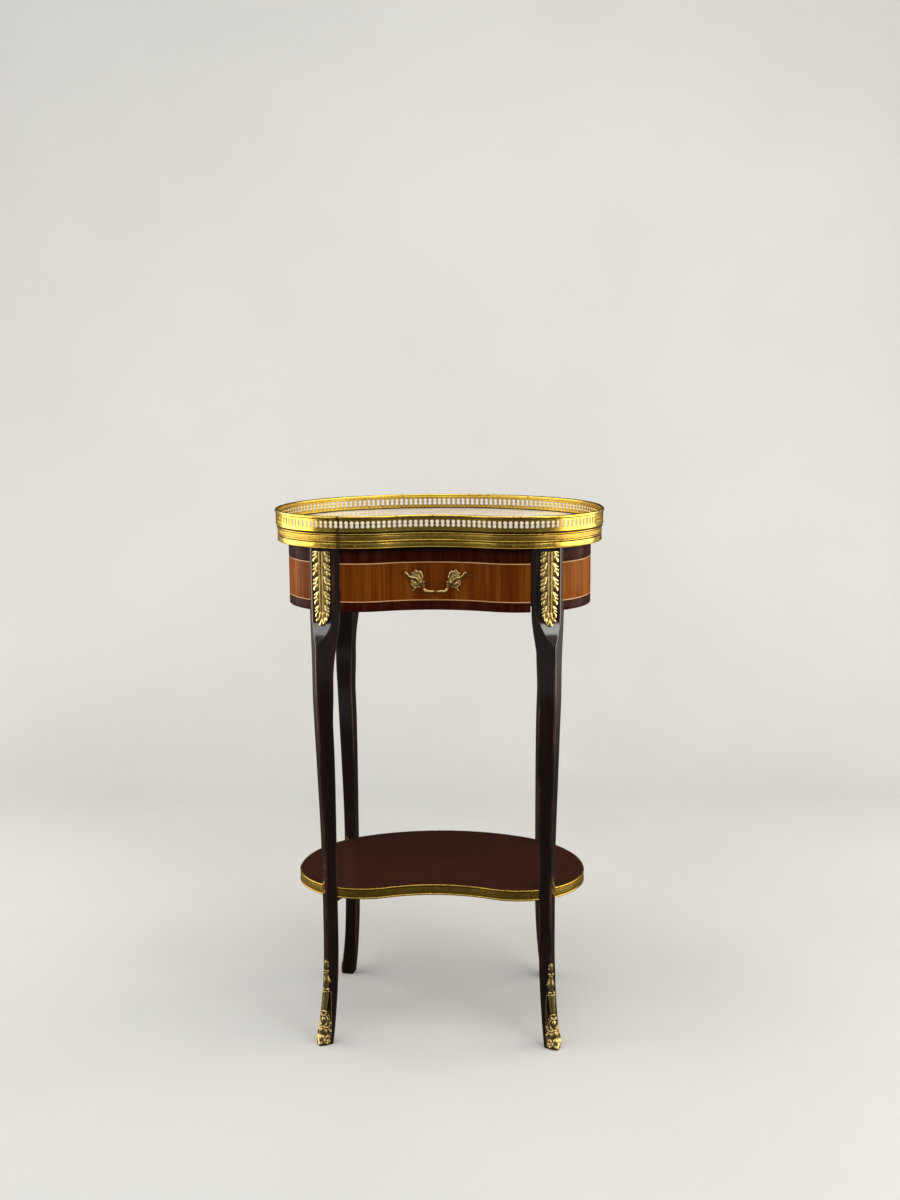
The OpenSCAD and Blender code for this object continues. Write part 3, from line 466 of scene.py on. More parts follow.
def outlineArcs(shape):
    # each arc: centre x, centre y, radius, +1 where the radius grows inwards, start and end angle
    lobe, shoulder = shape["depth"] * shape["lobePart"], shape["depth"] * shape["shoulderPart"]
    endY = lobe - shape["depth"] / 2
    lobeX, shoulderX = shape["width"] / 2 - lobe, shape["width"] / 2 - shoulder
    rise, dipRise = shape["depth"] / 2 - endY, lobe - shape["dip"]
    back = (shoulderX ** 2 + rise ** 2 - shoulder ** 2) / (2 * (rise - shoulder))
    front = (lobeX ** 2 + dipRise ** 2 - lobe ** 2) / (2 * shape["dip"])
    backY, frontY = shape["depth"] / 2 - back, shape["dip"] - shape["depth"] / 2 - front
    half, whole = math.pi / 2, math.pi
    fa, ba = math.atan2(endY - frontY, lobeX), math.atan2(endY - backY, shoulderX)
    return np.array([
        [0, frontY, front, 1, half, fa], [lobeX, endY, lobe, -1, fa - whole, 0],
        [shoulderX, endY, shoulder, -1, 0, ba], [0, backY, back, -1, ba, whole - ba],
        [-shoulderX, endY, shoulder, -1, whole - ba, whole], [-lobeX, endY, lobe, -1, whole, 2 * whole - fa],
        [0, frontY, front, 1, whole - fa, half]])


arcs = outlineArcs(outline)
arcLengths = np.abs(arcs[:, 5] - arcs[:, 4]) * (arcs[:, 2] + arcs[:, 3] * 2.0)
arcStarts = np.concatenate([[0.0], np.cumsum(arcLengths)]) / arcLengths.sum()
trackLength = arcLengths.sum()


def arcAngle(u):
    # arc k and angle on it for the part u of the way round: start + t * (end - start)
    u = np.mod(np.asarray(u, float), 1.0)
    k = np.clip(np.searchsorted(arcStarts, u, side="right") - 1, 0, len(arcs) - 1)
    t = (u - arcStarts[k]) / (arcStarts[k + 1] - arcStarts[k])
    return k, arcs[k, 4] + t * (arcs[k, 5] - arcs[k, 4])


def kidney(u, inset):
    # centre + (radius + or - inset) * (cos angle, sin angle), where u is the part of the way round
    k, angle = arcAngle(u)
    radius = arcs[k, 2] + arcs[k, 3] * inset
    return np.stack([arcs[k, 0] + radius * np.cos(angle), arcs[k, 1] + radius * np.sin(angle)], -1)


def turnNear(place, inset):
    # the u of the outline point at that inset which lies nearest to a place
    u = np.linspace(0.0, 1.0, 40001)
    away = np.linalg.norm(kidney(u, inset) - np.asarray(place), axis=1)
    return u[np.argmin(away)]


def sweep(profile, start=0.0, end=1.0, steps=360, upright=False, **values):
    # profile point j = (inset, height) goes round the outline: p(u, j) = outline(u, inset j) at height j
    loop = np.vstack([profile, profile[:1]]).astype(float)
    u = np.linspace(start, end, steps + 1)
    flat = kidney(u[:, None], loop[None, :, 0])
    along = np.concatenate([[0.0], np.cumsum(np.linalg.norm(np.diff(loop, axis=0), axis=1))])
    across = loop[:, 1] if upright else along
    uv = np.stack(np.meshgrid(u * trackLength, across, indexing="ij"), -1) * mm
    faces = gridFaces(steps + 1, len(loop))
    if end - start < 0.999:
        faces += endFaces(steps + 1, len(loop))
    given = {key: np.broadcast_to(np.append(value, value[0]), flat.shape[:2]) for key, value in values.items()}
    return part(raised(flat, loop[:, 1]), faces, uv, **given)


def softStrip(outer, inner, low, high, edge=0.3):
    # an upright strip with its four long edges taken off
    return np.array([[outer, low + edge], [outer, high - edge], [outer + edge * 0.3, high - edge * 0.3],
                     [outer + edge, high], [inner, high], [inner, low], [outer + edge, low],
                     [outer + edge * 0.3, low + edge * 0.3]])


def roundBead(outer, centre, reach, half, steps):
    # half a circle that stands out: inset = outer edge + reach * (1 - cos a), height = centre + half * sin a
    a = np.linspace(-math.pi / 2, math.pi / 2, steps)
    return np.stack([outer + reach * (1 - np.cos(a)), centre + half * np.sin(a)], -1)


# Gallery: a strip pierced with upright figures of eight, a foot ring and a rolled rim.
gallery = {"outer": 1.2, "thick": 1.6, "low": 691.8, "high": 708.2, "holeMiddle": 701.1, "holeRadius": 2.45,
           "holeApart": 4.3, "holeFlank": 1.7, "holes": 174, "rimTop": 712.0, "rimHalf": 2.3, "footOuter": 3.1,
           "footInner": 4.7, "footLow": 689.4}


def piercedStrip(spec):
    # a hole is two circles that meet; each of its 20 points is joined to one of 20 on the rim of its tile
    r, apart, n, count = spec["holeRadius"], spec["holeApart"] / 2, 20, spec["holes"]
    waist = math.asin(apart / r)
    a = np.linspace(-waist, math.pi + waist, n // 2 + 1)
    upper = np.stack([r * np.cos(a), apart + r * np.sin(a)], -1)
    hole = np.vstack([upper[:-1], -upper[:-1]])
    side = trackLength / count / 2
    rim = hole.copy()
    rim[:, 0] = np.where(np.abs(hole[:, 0]) > spec["holeFlank"], np.sign(hole[:, 0]) * side, hole[:, 0])
    rim[[0, 10]] = [[side, 0.0], [-side, 0.0]]
    across = side * np.array([1.0, 0.5, 0.0, -0.5, -1.0])
    rim[3:8] = np.stack([across, np.full(5, spec["high"] - spec["holeMiddle"])], -1)
    rim[13:18] = np.stack([-across, np.full(5, spec["low"] - spec["holeMiddle"])], -1)
    u = (np.arange(count)[:, None] + 0.5) / count
    outer, inner = spec["outer"], spec["outer"] + spec["thick"]
    rings = ((rim, outer), (hole, outer), (hole, inner), (rim, inner))
    points = np.stack([raised(kidney(u + ring[:, 0] / trackLength, inset), spec["holeMiddle"] + ring[:, 1])
                       for ring, inset in rings], 1)
    k = np.arange(n)
    tile = [np.stack([row + k, row + (k + 1) % n, row + n + (k + 1) % n, row + n + k], 1)
            for row in (0, n, 2 * n)]
    edge = np.array([[q, q + 1, 3 * n + q + 1, 3 * n + q] for q in (3, 4, 5, 6, 13, 14, 15, 16)])
    tile = np.vstack([*tile, edge])
    faces = (tile + np.arange(count)[:, None, None] * 4 * n).reshape(-1, 4).tolist()
    # the inner rim of each hole is painted darker, painted shade inside the piercings
    return part(points, faces, hollow=np.tile(np.repeat([0.0, 0.0, 0.6, 0.0], n), count))


def galleryParts(spec):
    # the rim is the rounded square |x|^2.5 + |z|^2.5 = 1, the foot a soft strip
    a = np.linspace(0, 2 * math.pi, 20, endpoint=False)
    x, z = (np.sign(turn) * np.abs(turn) ** 0.8 for turn in (np.cos(a), np.sin(a)))
    width, half = spec["outer"] + spec["thick"] / 2, spec["rimHalf"]
    rim = np.stack([width - width * x, spec["rimTop"] - half + half * z], -1)
    return rim, softStrip(spec["footOuter"], spec["footInner"], spec["footLow"], spec["low"] + 1.2, 0.2)


rimProfile, footProfile = galleryParts(gallery)
addPiece("galleryStrip", piercedStrip(gallery), "table", "galleryBrass", ["gallery_strip"],
         30)
# the foot is painted fully dark, a painted shadow in the gap under the pierced strip
addPiece("galleryFoot", sweep(footProfile, hollow=np.full(len(footProfile), 1.0)), "table", "galleryBrass",
         ["gallery_strip"])
addPiece("galleryRim", sweep(rimProfile, hollow=np.zeros(len(rimProfile))), "table", "galleryBrass",
         ["gallery_rim"], 60)
print("gallery made")


# Edge moulding: a plain band with a lip, a bead, a knurled band and another bead, with grooves between them
# that are painted dark as painted shade.
moulding = {"face": 3.2, "inner": 4.7, "low": 670.4, "plainTop": 677.3, "groove": 4.1, "beadLow": 678.5,
            "beadHigh": 680.5, "knurlLow": 680.7, "knurlHigh": 686.7, "topBeadLow": 687.5, "high": 689.4,
            "lip": 1.2, "lowReach": 1.0, "highReach": 1.2, "knurls": 480, "knurlDepth": 0.42}


def mouldingShape(spec):
    # the rows of the profile from the bottom up, each with its tone of painted shade (full in the grooves, less
    # on the lip and the back), swept round the outline
    face, groove, foot = spec["face"], spec["groove"], spec["low"] + spec["lip"]
    lip = roundBead(face - 0.35, spec["low"] + spec["lip"] / 2, 0.35, 0.55, 5)
    height = np.linspace(-1, 1, 7)
    plain = np.stack([face + 0.28 * np.abs(height) ** 2.4,
                      (foot + spec["plainTop"]) / 2 + (spec["plainTop"] - foot) / 2 * height], -1)
    lowBead, highBead = (roundBead(edge - reach, (low + high) / 2, reach, (high - low) / 2, 7)
                         for edge, reach, low, high in (
                             (face + 0.9, spec["lowReach"], spec["beadLow"], spec["beadHigh"]),
                             (face, spec["highReach"], spec["topBeadLow"], spec["high"])))
    rows = [
        (lip, 0.3),
        (plain, 0.0),
        ([[groove, spec["plainTop"] + 0.1], [groove, spec["beadLow"] - 0.05]], 1.0),
        (lowBead, 0.0),
        ([[groove, spec["beadHigh"] + 0.1], [groove, spec["topBeadLow"] - 0.1]], 1.0),
        (highBead, 0.0),
        ([[spec["inner"], spec["high"]], [spec["inner"], spec["low"]]], 0.3)]
    hollow = np.concatenate([np.full(len(points), tone) for points, tone in rows])
    return sweep(np.vstack([points for points, _ in rows]), steps=420, hollow=hollow)


def knurledBand(low, high, inset, depth, count, back, start=0.0, end=1.0, rows=11):
    # inset = face - depth * root of |cos(round + slant) * cos(round - slant)| * dome, so that the ridges cross
    cols = int(count * (end - start)) * 4 + 1
    u, v = np.linspace(start, end, cols)[:, None], np.linspace(0.0, 1.0, rows)
    cell, slant = u * count, v * 1.5
    ridge = np.sqrt(np.abs(np.cos(math.pi * (cell + slant)) * np.cos(math.pi * (cell - slant))))
    front = raised(kidney(u, inset - depth * ridge * dome(v, 0.35)), low + (high - low) * v)
    rear = raised(kidney(u, np.full((cols, 2), back)), [high, low])
    # painted shade: the valleys between the ridges and the back are painted darker
    hollow = np.concatenate([0.85 * (1 - ridge), np.full((cols, 3), 0.5)], 1)
    faces = gridFaces(cols, rows + 3)
    if end - start < 0.999:
        faces += endFaces(cols, rows + 3)
    return part(np.concatenate([front, rear, front[:, :1]], 1), faces, hollow=hollow)


addPiece("edgeMoulding", mouldingShape(moulding), "table", "galleryBrass", ["edge_moulding"],
         50)
knurls = knurledBand(moulding["knurlLow"], moulding["knurlHigh"], moulding["face"] + 0.2,
                     moulding["knurlDepth"], moulding["knurls"], moulding["groove"] + 0.2)
addPiece("knurledBand", knurls, "table", "knurledBrass", ["edge_moulding"], 70)
print("moulding made")


def filledSlab(edge, steps=300, rings=7):
    # inner rings are the edge's first and last ring drawn towards the middle: p = part * outline(u)
    inset, high = np.concatenate([[edge[0]] * (rings - 1), edge, [edge[-1]] * (rings - 1)]).T
    inward = np.linspace(0.0, 1.0, rings)
    parts = np.concatenate([inward[:-1], np.ones(len(edge)), inward[::-1][1:]])
    flat = kidney(np.linspace(0.0, 1.0, steps + 1), inset[:, None]) * parts[:, None, None]
    return part(raised(flat, high[:, None]), gridFaces(len(inset), steps + 1), flat * mm)


marble = {"inset": 5.2, "low": 677.4, "high": 692.0, "edge": 1.4}
edgeTurn = np.linspace(0, math.pi / 2, 6)
marbleEdge = np.vstack([np.stack([marble["inset"] + marble["edge"] * (1 - np.sin(edgeTurn)),
                                  marble["high"] - marble["edge"] * (1 - np.cos(edgeTurn))], -1),
                        [[marble["inset"], marble["low"] + 0.3], [marble["inset"] + 0.3, marble["low"]]]])
addPiece("marbleTop", filledSlab(marbleEdge), "table", "whiteMarble", ["marble_top"])
print("marble made")


# Legs. Each is a square post with a broad chamfer, swept in to a slim ankle and out to its toe.
leg = {"postSide": 33.0, "kneeSide": 21.0, "ankleSide": 17.0, "top": 670.4, "apronLow": 587.0,
       "kneeDrop": 102.0, "kneeOut": 1.6, "shelf": 214.0, "chamferIn": 24.5, "chamferOut": 19.0,
       "chamferTail": 43.0, "sabot": 115.0, "edgeRadius": 1.1, "rows": 260, "kneeSwell": 1.11,
       "swellPart": 0.54, "bulgePart": 1.03, "footSwell": 0.03, "splayHigh": 0.7, "splayPower": 2.3,
       "ankleAbove": 8.0, "arris": 1.0}
legEnds = {
    -1: {"turn": 20.0, "at": 64.35, "out": 0.3, "splay": 18.4, "splayWay": 26.0, "sweep": 11.0,
         "sweepWay": 21.0},
    1: {"turn": 11.0, "at": 54.3, "out": 3.5, "splay": 17.6, "splayWay": 34.0, "sweep": 11.0, "sweepWay": 34.0}}
legCorners = {"front_left": (-1, -1), "front_right": (1, -1), "back_left": (-1, 1), "back_right": (1, 1)}


def legSide(z):
    # the side of the square: post, knee, swell, ankle and foot, each eased into the next
    low, knee = leg["apronLow"], leg["apronLow"] - leg["kneeDrop"]
    swell, ankle = knee - leg["kneeDrop"] * leg["swellPart"], leg["shelf"] + leg["ankleAbove"]
    fullKnee = leg["kneeSide"] * leg["kneeSwell"]
    side = leg["ankleSide"] + (leg["kneeSide"] - leg["ankleSide"]) * eased((z - ankle) / (swell - ankle))
    side = side + (fullKnee - leg["kneeSide"]) * eased((z - swell) / (knee - swell))
    side = side + (leg["postSide"] - fullKnee) * eased(clamp((z - knee) / (low - knee)) ** 1.3)
    return side + leg["ankleSide"] * leg["footSwell"] * eased(1 - 2 * z / leg["sabot"])


def legWays(side, end):
    # the two edges of the square post that leave its outer corner, turned from the sides by the leg's angle
    t = math.radians(legEnds[end]["turn"])
    return (np.array([-side * math.cos(t), -end * math.sin(t)]),
            np.array([side * math.sin(t), -end * math.cos(t)]))


def legCorner(side, end, z):
    # the outer corner: post corner + bulge at the knee - sweep to the ankle + splay to the toe
    spec, arc = legEnds[end], arcs[1] if end < 0 else arcs[2]
    along, across = legWays(side, end)
    at = math.radians(spec["at"])
    reach = arc[2] + spec["out"]
    post = np.array([side * (arc[0] + reach * math.cos(at)), arc[1] + end * reach * math.sin(at)])
    outward = -(along + across) / math.sqrt(2)
    knee, ankle = leg["apronLow"] - leg["kneeDrop"], leg["shelf"] + leg["ankleAbove"]
    bulgeFoot = knee - leg["kneeDrop"] * leg["bulgePart"]
    bulge = leg["kneeOut"] * np.sin(math.pi * clamp((z - bulgeFoot) / (leg["apronLow"] - bulgeFoot))) ** 2
    sweepAway = spec["sweep"] * (1 - eased((z - ankle) / (knee - ankle)))
    splay = spec["splay"] * np.clip(1 - z / (leg["shelf"] * leg["splayHigh"]), 0, None) ** leg["splayPower"]
    heading = lambda a: np.array([side * math.sin(math.radians(a)), end * math.cos(math.radians(a))])
    return (post + bulge[..., None] * outward - sweepAway[..., None] * heading(spec["sweepWay"])
            + splay[..., None] * heading(spec["splayWay"]))


def chamferPart(z):
    # 1 - (1 - share of the way up the tail) squared
    tip = leg["apronLow"] - leg["chamferTail"]
    return 1 - (1 - clamp((z - tip) / (leg["apronLow"] - 1 - tip))) ** 2


def chamferCuts(z):
    # where the chamfer meets each face: arris + (full cut - arris) * part
    arris, share = leg["arris"], chamferPart(z)
    return arris + (leg["chamferIn"] - arris) * share, arris + (leg["chamferOut"] - arris) * share


def softRing(corners, radius):
    # each corner becomes a parabola between two points on its edges, with one more point on each edge
    before = np.roll(corners, 1, 1) - corners
    after = np.roll(corners, -1, 1) - corners
    lenB, lenA = np.linalg.norm(before, axis=-1, keepdims=True), np.linalg.norm(after, axis=-1, keepdims=True)
    unitB, unitA = before / lenB, after / lenA
    rb, ra = np.minimum(radius, 0.4 * lenB), np.minimum(radius, 0.4 * lenA)
    fb, fa = np.minimum(radius + 1.3, 0.49 * lenB), np.minimum(radius + 1.3, 0.49 * lenA)
    t = np.array([0.0, 0.33, 0.67, 1.0])[None, None, :, None]
    start, finish = (corners + unitB * rb)[:, :, None], (corners + unitA * ra)[:, :, None]
    curve = (1 - t) ** 2 * start + 2 * t * (1 - t) * corners[:, :, None] + t ** 2 * finish
    ring = np.concatenate([(corners + unitB * fb)[:, :, None], curve, (corners + unitA * fa)[:, :, None]], 2)
    edge = np.broadcast_to(np.array([0.0, 0.7, 1.0, 1.0, 0.7, 0.0]), ring.shape[:3])
    return ring.reshape(len(corners), -1, 2), edge.reshape(len(corners), -1)


def legShape(side, end):
    # the square section without its outer corner at each height, its edges rounded, joined into a tube
    tip = leg["apronLow"] - leg["chamferTail"]
    z = np.unique(np.concatenate([np.linspace(0, leg["top"], leg["rows"]),
                                  np.linspace(tip, leg["apronLow"], 40), [0.6, 1.4, leg["apronLow"]]]))
    along, across = legWays(side, end)
    c = legCorner(side, end, z)
    s = legSide(z)[:, None]
    cutIn, cutOut = (cut[:, None] for cut in chamferCuts(z))
    corners = np.stack([c + along * cutIn, c + along * s, c + (along + across) * s, c + across * s,
                        c + across * cutOut], 1)
    middle = corners.mean(1, keepdims=True)
    shrink = np.where(z < 1.4, 1 - 0.03 * (1 - z / 1.4), 1.0)[:, None, None]
    ring, edge = softRing(middle + (corners - middle) * shrink, leg["edgeRadius"])
    cols = ring.shape[1] + 1
    ring, edge = np.concatenate([ring, ring[:, :1]], 1), np.concatenate([edge, edge[:, :1]], 1)
    return part(raised(ring, z[:, None]), gridFaces(len(z), cols) + endFaces(len(z), cols), edge=edge)


def addAtCorners(kind, ending, shape, finish, sharp):
    # the same piece at each of the four legs, shaped by the side and end it stands at
    for name, (side, end) in legCorners.items():
        addPiece(f"{kind}_{name}_{ending}", shape(side, end), "table", finish, [f"{kind}_{name}"],
                 sharp)


def crossedFace(side, end, z, inset, square, lead, reach, below):
    # the places u along an outline that lie inside a leg's square at height z
    along, across = legWays(side, end)
    c = legCorner(side, end, np.array([z]))[0]
    hit = turnNear(c + across * square * lead, inset)
    face = np.linspace(hit - reach, hit + reach, 2401)
    flat = kidney(face, inset + below) - c
    onAlong, onAcross = flat @ along, flat @ across
    return face[(onAlong > 0) & (onAlong < square) & (onAcross > 0) & (onAcross < square)]


addAtCorners("leg", "shaped", legShape, "legMahogany", 28)
print("legs made")


# Apron: crossbands, light lines and the figured field, as thin strips between the posts.
apron = {"outer": 17.3, "veneer": 1.0, "low": 587.0, "high": 670.4, "fieldLow": 600.7, "fieldHigh": 648.5,
         "line": 1.3, "tuck": 2.5, "drawerEnd": 121.49, "drawerHigh": 668.8}


def postSpan(side, end):
    # where the outer face of a post meets the apron's face
    return crossedFace(side, end, leg["top"], apron["outer"], leg["postSide"], 0.62, 0.06, 0.5)


def apronSpans():
    # from the inner side of one post to the next, each tucked in a little
    rightFront, rightBack, leftFront, leftBack = (postSpan(side, end) for side in (1, -1) for end in (-1, 1))
    tuck = apron["tuck"] / trackLength
    return {"right": (rightFront.max() - tuck, rightBack.min() + tuck),
            "back": (rightBack.max() - tuck, leftBack.min() + tuck),
            "left": (leftBack.max() - tuck, leftFront.min() + tuck)}


# Each kind of strip: its finish, slot and node.
stripKinds = {
    "field": ("fieldVeneer", "figured_veneer", "field_veneer"),
    "crossbands": ("crossbandWood", "mahogany", "crossbands"),
    "stringing": ("stringingWood", "light_stringing", "stringing")}


def addStrips(body, pieceName, nodeName, top, start, end, steps):
    # the field, the crossbands above and below it and the lines between them, from one place to the next
    outer, inner, line = apron["outer"], apron["outer"] + apron["veneer"], apron["line"]
    low, high = apron["fieldLow"], apron["fieldHigh"]
    rows = {"field": [(low, high)], "crossbands": [(apron["low"], low - line), (high + line, top)],
            "stringing": [(low - line, low), (high, high + line)]}
    for kind, (finish, slotName, node) in stripKinds.items():
        strips = [softStrip(outer, inner, a + 0.03, b - 0.03, 0.14) for a, b in rows[kind]]
        shape = joined([sweep(strip, start, end, steps, upright=True) for strip in strips])
        addPiece(pieceName % kind, shape, body, finish, [nodeName % node])


for place, (start, end) in apronSpans().items():
    addStrips("table", "%s_" + place + "_strip", "%s_" + place, apron["high"], start, end, 120)
drawerU = turnNear((apron["drawerEnd"], -127.0), apron["outer"])
addStrips("drawer", "drawer_%s_strip", "drawer_%s", apron["drawerHigh"], -drawerU, drawerU, 160)
print("apron strips made")


# Shelf band: a bright lip above and below a textured middle, stopped by the legs.
shelfBand = {"outer": 22.3, "inner": 24.5, "sink": 0.6, "low": 199.5, "high": 214.0, "lip": 2.2, "knurls": 560,
             "depth": 0.24, "tuck": 1.5}


def bandShape(spec, start, end, steps):
    # a round lip, a sunk middle and another lip, swept between two places
    lip = spec["lip"]
    lowLip = roundBead(spec["outer"], spec["low"] + lip / 2, spec["sink"], lip / 2, 7)
    highLip = roundBead(spec["outer"], spec["high"] - lip / 2, spec["sink"], lip / 2, 7)
    profile = np.vstack([lowLip, [[spec["outer"] + spec["sink"] + 0.25, spec["low"] + lip + 0.1],
                                  [spec["outer"] + spec["sink"] + 0.25, spec["high"] - lip - 0.1]], highLip,
                         [[spec["inner"], spec["high"] + 0.06], [spec["inner"], spec["low"]]]])
    # the sunk flat behind the knurls is painted fully dark, as painted shade
    hollow = np.zeros(len(profile))
    hollow[7:9] = 1.0
    return sweep(profile, start, end, steps, hollow=hollow)


def anklePlaces(side, end):
    # where an ankle meets the shelf's band
    return crossedFace(side, end, leg["shelf"] - 7, shelfBand["outer"], leg["ankleSide"], 0.0, 0.05, 1.0)


ankles = {name: anklePlaces(side, end) for name, (side, end) in legCorners.items()}
tuck = shelfBand["tuck"] / trackLength
# the front length starts one whole turn back, because u begins anew at the front's middle
bandSpans = {"front": (ankles["front_left"].max() - 1.0 - tuck, ankles["front_right"].min() + tuck),
             "right": (ankles["front_right"].max() - tuck, ankles["back_right"].min() + tuck),
             "back": (ankles["back_right"].max() - tuck, ankles["back_left"].min() + tuck),
             "left": (ankles["back_left"].max() - tuck, ankles["front_left"].min() + tuck)}
for place, (start, end) in bandSpans.items():
    sunk = shelfBand["outer"] + shelfBand["sink"] + 0.1
    middle = knurledBand(shelfBand["low"] + shelfBand["lip"] + 0.7, shelfBand["high"] - shelfBand["lip"] - 0.7,
                         sunk, shelfBand["depth"], shelfBand["knurls"], sunk + 0.5, start, end)
    addPiece("shelfBand_" + place, joined([bandShape(shelfBand, start, end, 120), middle]), "table",
             "shelfBrass", ["shelf_band_" + place], 50)
print("shelf band made")


def smoothPath(points, count):
    # a curve through the points, of cubics whose slopes are half the step between the neighbours
    points = np.asarray(points, float)
    full = np.vstack([2 * points[0] - points[1], points, 2 * points[-1] - points[-2]])
    place = np.linspace(0, len(points) - 1, count)
    k = np.minimum(place.astype(int), len(points) - 2)
    t = (place - k)[:, None]
    a, b, c, d = full[k], full[k + 1], full[k + 2], full[k + 3]
    return 0.5 * (2 * b + (c - a) * t + (2 * a - 5 * b + 4 * c - d) * t ** 2 + (3 * b - a - 3 * c + d) * t ** 3)


# Relief shells: a front skin lifted from a base surface, closed by the base as its back.
def shell(base, outward, lift, **values):
    # front = base + lift * outward, back = base, joined round the edges of the grid
    rows, cols = lift.shape
    front = base + outward * lift[..., None]
    ring = np.concatenate([front, base[:, ::-1], front[:, :1]], 1)
    wide = 2 * cols + 1
    faces = gridFaces(rows, wide) + endFaces(rows, wide)
    # the back and side walls are painted fully dark, a painted shadow along the relief's edges
    given = {key: np.concatenate([value, np.ones((rows, cols)), value[:, :1]], 1)
             for key, value in values.items()}
    return part(ring, faces, **given)


def bump(x, centre, width):
    # a soft hill: exp(-((x - centre) / width) squared)
    return np.exp(-((x - centre) / width) ** 2)


# Leaf mounts on the chamfers: five lobed leaves on each side of a stem with two ribs, and a fan at the tip.
chute = {"high": 96.0, "thick": 4.6, "topGap": 5.5, "seat": 0.2, "rows": 300, "cols": 83, "stem": 3.8,
         "slant": 3.4, "stemMiddle": 1.95, "stemHalf": 1.62, "bladeFrom": 76.0, "bladeLong": 14.0,
         "fanFrom": 85.5, "fanBlend": 3.2, "fanMiddle": 82.5, "fanLobes": 4.5, "fanLong": 12.2,
         "edgeNotch": 0.15, "least": 0.7, "leafEnds": [-1.2, 17.0, 35.1, 54.3, 72.2, 87.4, 110.0],
         "lobeEnds": [0.0, 0.27, 0.53, 1.0], "halfAt": [0, 35, 55, 72, 83, 90, 93.5, 95.4, 96],
         "half": [12.3, 12.3, 11.8, 10.9, 9.7, 7.4, 4.9, 2.6, 0.9]}


def within(edges, value):
    # which interval a value lies in, and how far along it (0 to 1)
    edges = np.asarray(edges, float)
    k = np.clip(np.searchsorted(edges, value, side="right") - 1, 0, len(edges) - 2)
    return k, clamp((value - edges[k]) / (edges[k + 1] - edges[k]))


def roundOver(share):
    # height of half a ball over its flat base, 1 in the middle and 0 at the rim
    return np.sqrt(clamp(1 - share ** 2))


def leafRelief(down, away, wide):
    # down and away in mm; a leaf's lobes grow from one root by the stem and split more and more outward
    w = clamp((away - chute["stem"]) / (wide - chute["stem"]))
    slid = down + chute["slant"] * (1 - w)
    t = within(chute["leafEnds"], slid)[1]
    j, tt = within(chute["lobeEnds"], t)
    lobes = dome(tt, 0.5) * np.array([0.86, 0.88, 1.0])[j]
    blend = eased((w - 0.18 - 0.2 * (j == 0)) / 0.36) * np.array([0.75, 0.92, 1.0])[j]
    body = dome(t, 0.32) * ((1 - blend) * 0.84 + blend * lobes)
    rib = 0.2 * bump(w, 0.06 + 0.78 * t, 0.08) * dome(t, 0.5)
    curl = 0.12 * np.sin(2 * math.pi * (tt + 0.6 * w)) * blend
    return np.clip(body + rib + curl * lobes, 0, 1.2), dome(t, 0.32) * (1 - 0.8 * (1 - dome(tt, 0.5)))


def chuteRelief(down, s):
    # x and lift at each height below the top: leaves outside, two ribs inside, a blade and a fan at the tip
    half = np.interp(down, chute["halfAt"], chute["half"])
    notch = leafRelief(down, half, half + 0.001)[1]
    half = half * (1 - chute["edgeNotch"] * (1 - notch) * eased((90 - down) / 5))
    x = half * s[None]
    away = np.abs(x)
    leaf = leafRelief(down, away, half)[0]
    fall = np.sqrt(clamp(1 - np.abs(s)[None] ** 5))
    leafLift = 0.75 + 3.0 * leaf * (0.35 + 0.65 * fall)
    ribs = roundOver((away - chute["stemMiddle"]) / chute["stemHalf"])
    stemLift = chute["least"] + 3.3 * ribs * (1 - 0.25 * eased((down - 60) / 20))
    lift = np.where(away < chute["stem"], stemLift, leafLift)
    # the stem ends in a small split leaf, and a fan of lobes closes the tip
    bladeEnd = eased((down - chute["bladeFrom"] - 1) / 3)
    bladeDown = clamp((down - chute["bladeFrom"]) / chute["bladeLong"])
    blade = 0.8 + 3.2 * dome(bladeDown) * roundOver((away - 2.0) / 2.0)
    lift = np.where(away < chute["stem"] + 0.2, lift * (1 - bladeEnd) + blade * bladeEnd, lift)
    reach = np.hypot(x, down - chute["fanMiddle"] - 1)
    fanOn = eased((down - chute["fanFrom"] + 0.25 * away) / chute["fanBlend"])
    lobes = (np.cos(chute["fanLobes"] * np.arctan2(x, down - chute["fanMiddle"])) ** 2 + 0.012) ** 0.35
    fan = 0.9 + 2.9 * lobes * dome(clamp((reach - 1.5) / chute["fanLong"]))
    lift = lift * (1 - fanOn) + fan * fanOn
    return x, np.clip(lift, chute["least"], chute["thick"])


def chuteShape(side, end):
    # the relief laid on the chamfer's flat: middle of the chamfer + x along it, lifted along its normal
    top = leg["top"] - chute["topGap"]
    z = np.linspace(top, top - chute["high"], chute["rows"])
    down = (top - z)[:, None]
    x, lift = chuteRelief(down, np.linspace(-1, 1, chute["cols"]))
    away = np.abs(x)
    # low parts of the relief are painted darker, part patina and part painted shade
    deep = np.maximum(clamp((2.2 - lift) / 1.2), 0.2 * (away < chute["stem"]) * (down < 80))
    along, across = legWays(side, end)
    c = legCorner(side, end, z)
    cutIn, cutOut = chamferCuts(z)
    p, q = c + along * cutIn[:, None], c + across * cutOut[:, None]
    e = unit(across * leg["chamferOut"] - along * leg["chamferIn"])
    n = np.array([e[1], -e[0]]) * (1 if side * end < 0 else -1)
    origin = (p + q) / 2 + n * chute["seat"]
    flat = origin[:, None] + e[None, None] * x[..., None]
    base = raised(flat, z[:, None])
    outward = np.broadcast_to(np.array([n[0], n[1], 0.0]), base.shape)
    return shell(base, outward, lift, hollow=deep)


addAtCorners("chute", "cast", chuteShape, "giltBronze", 60)
print("leaf mounts made")


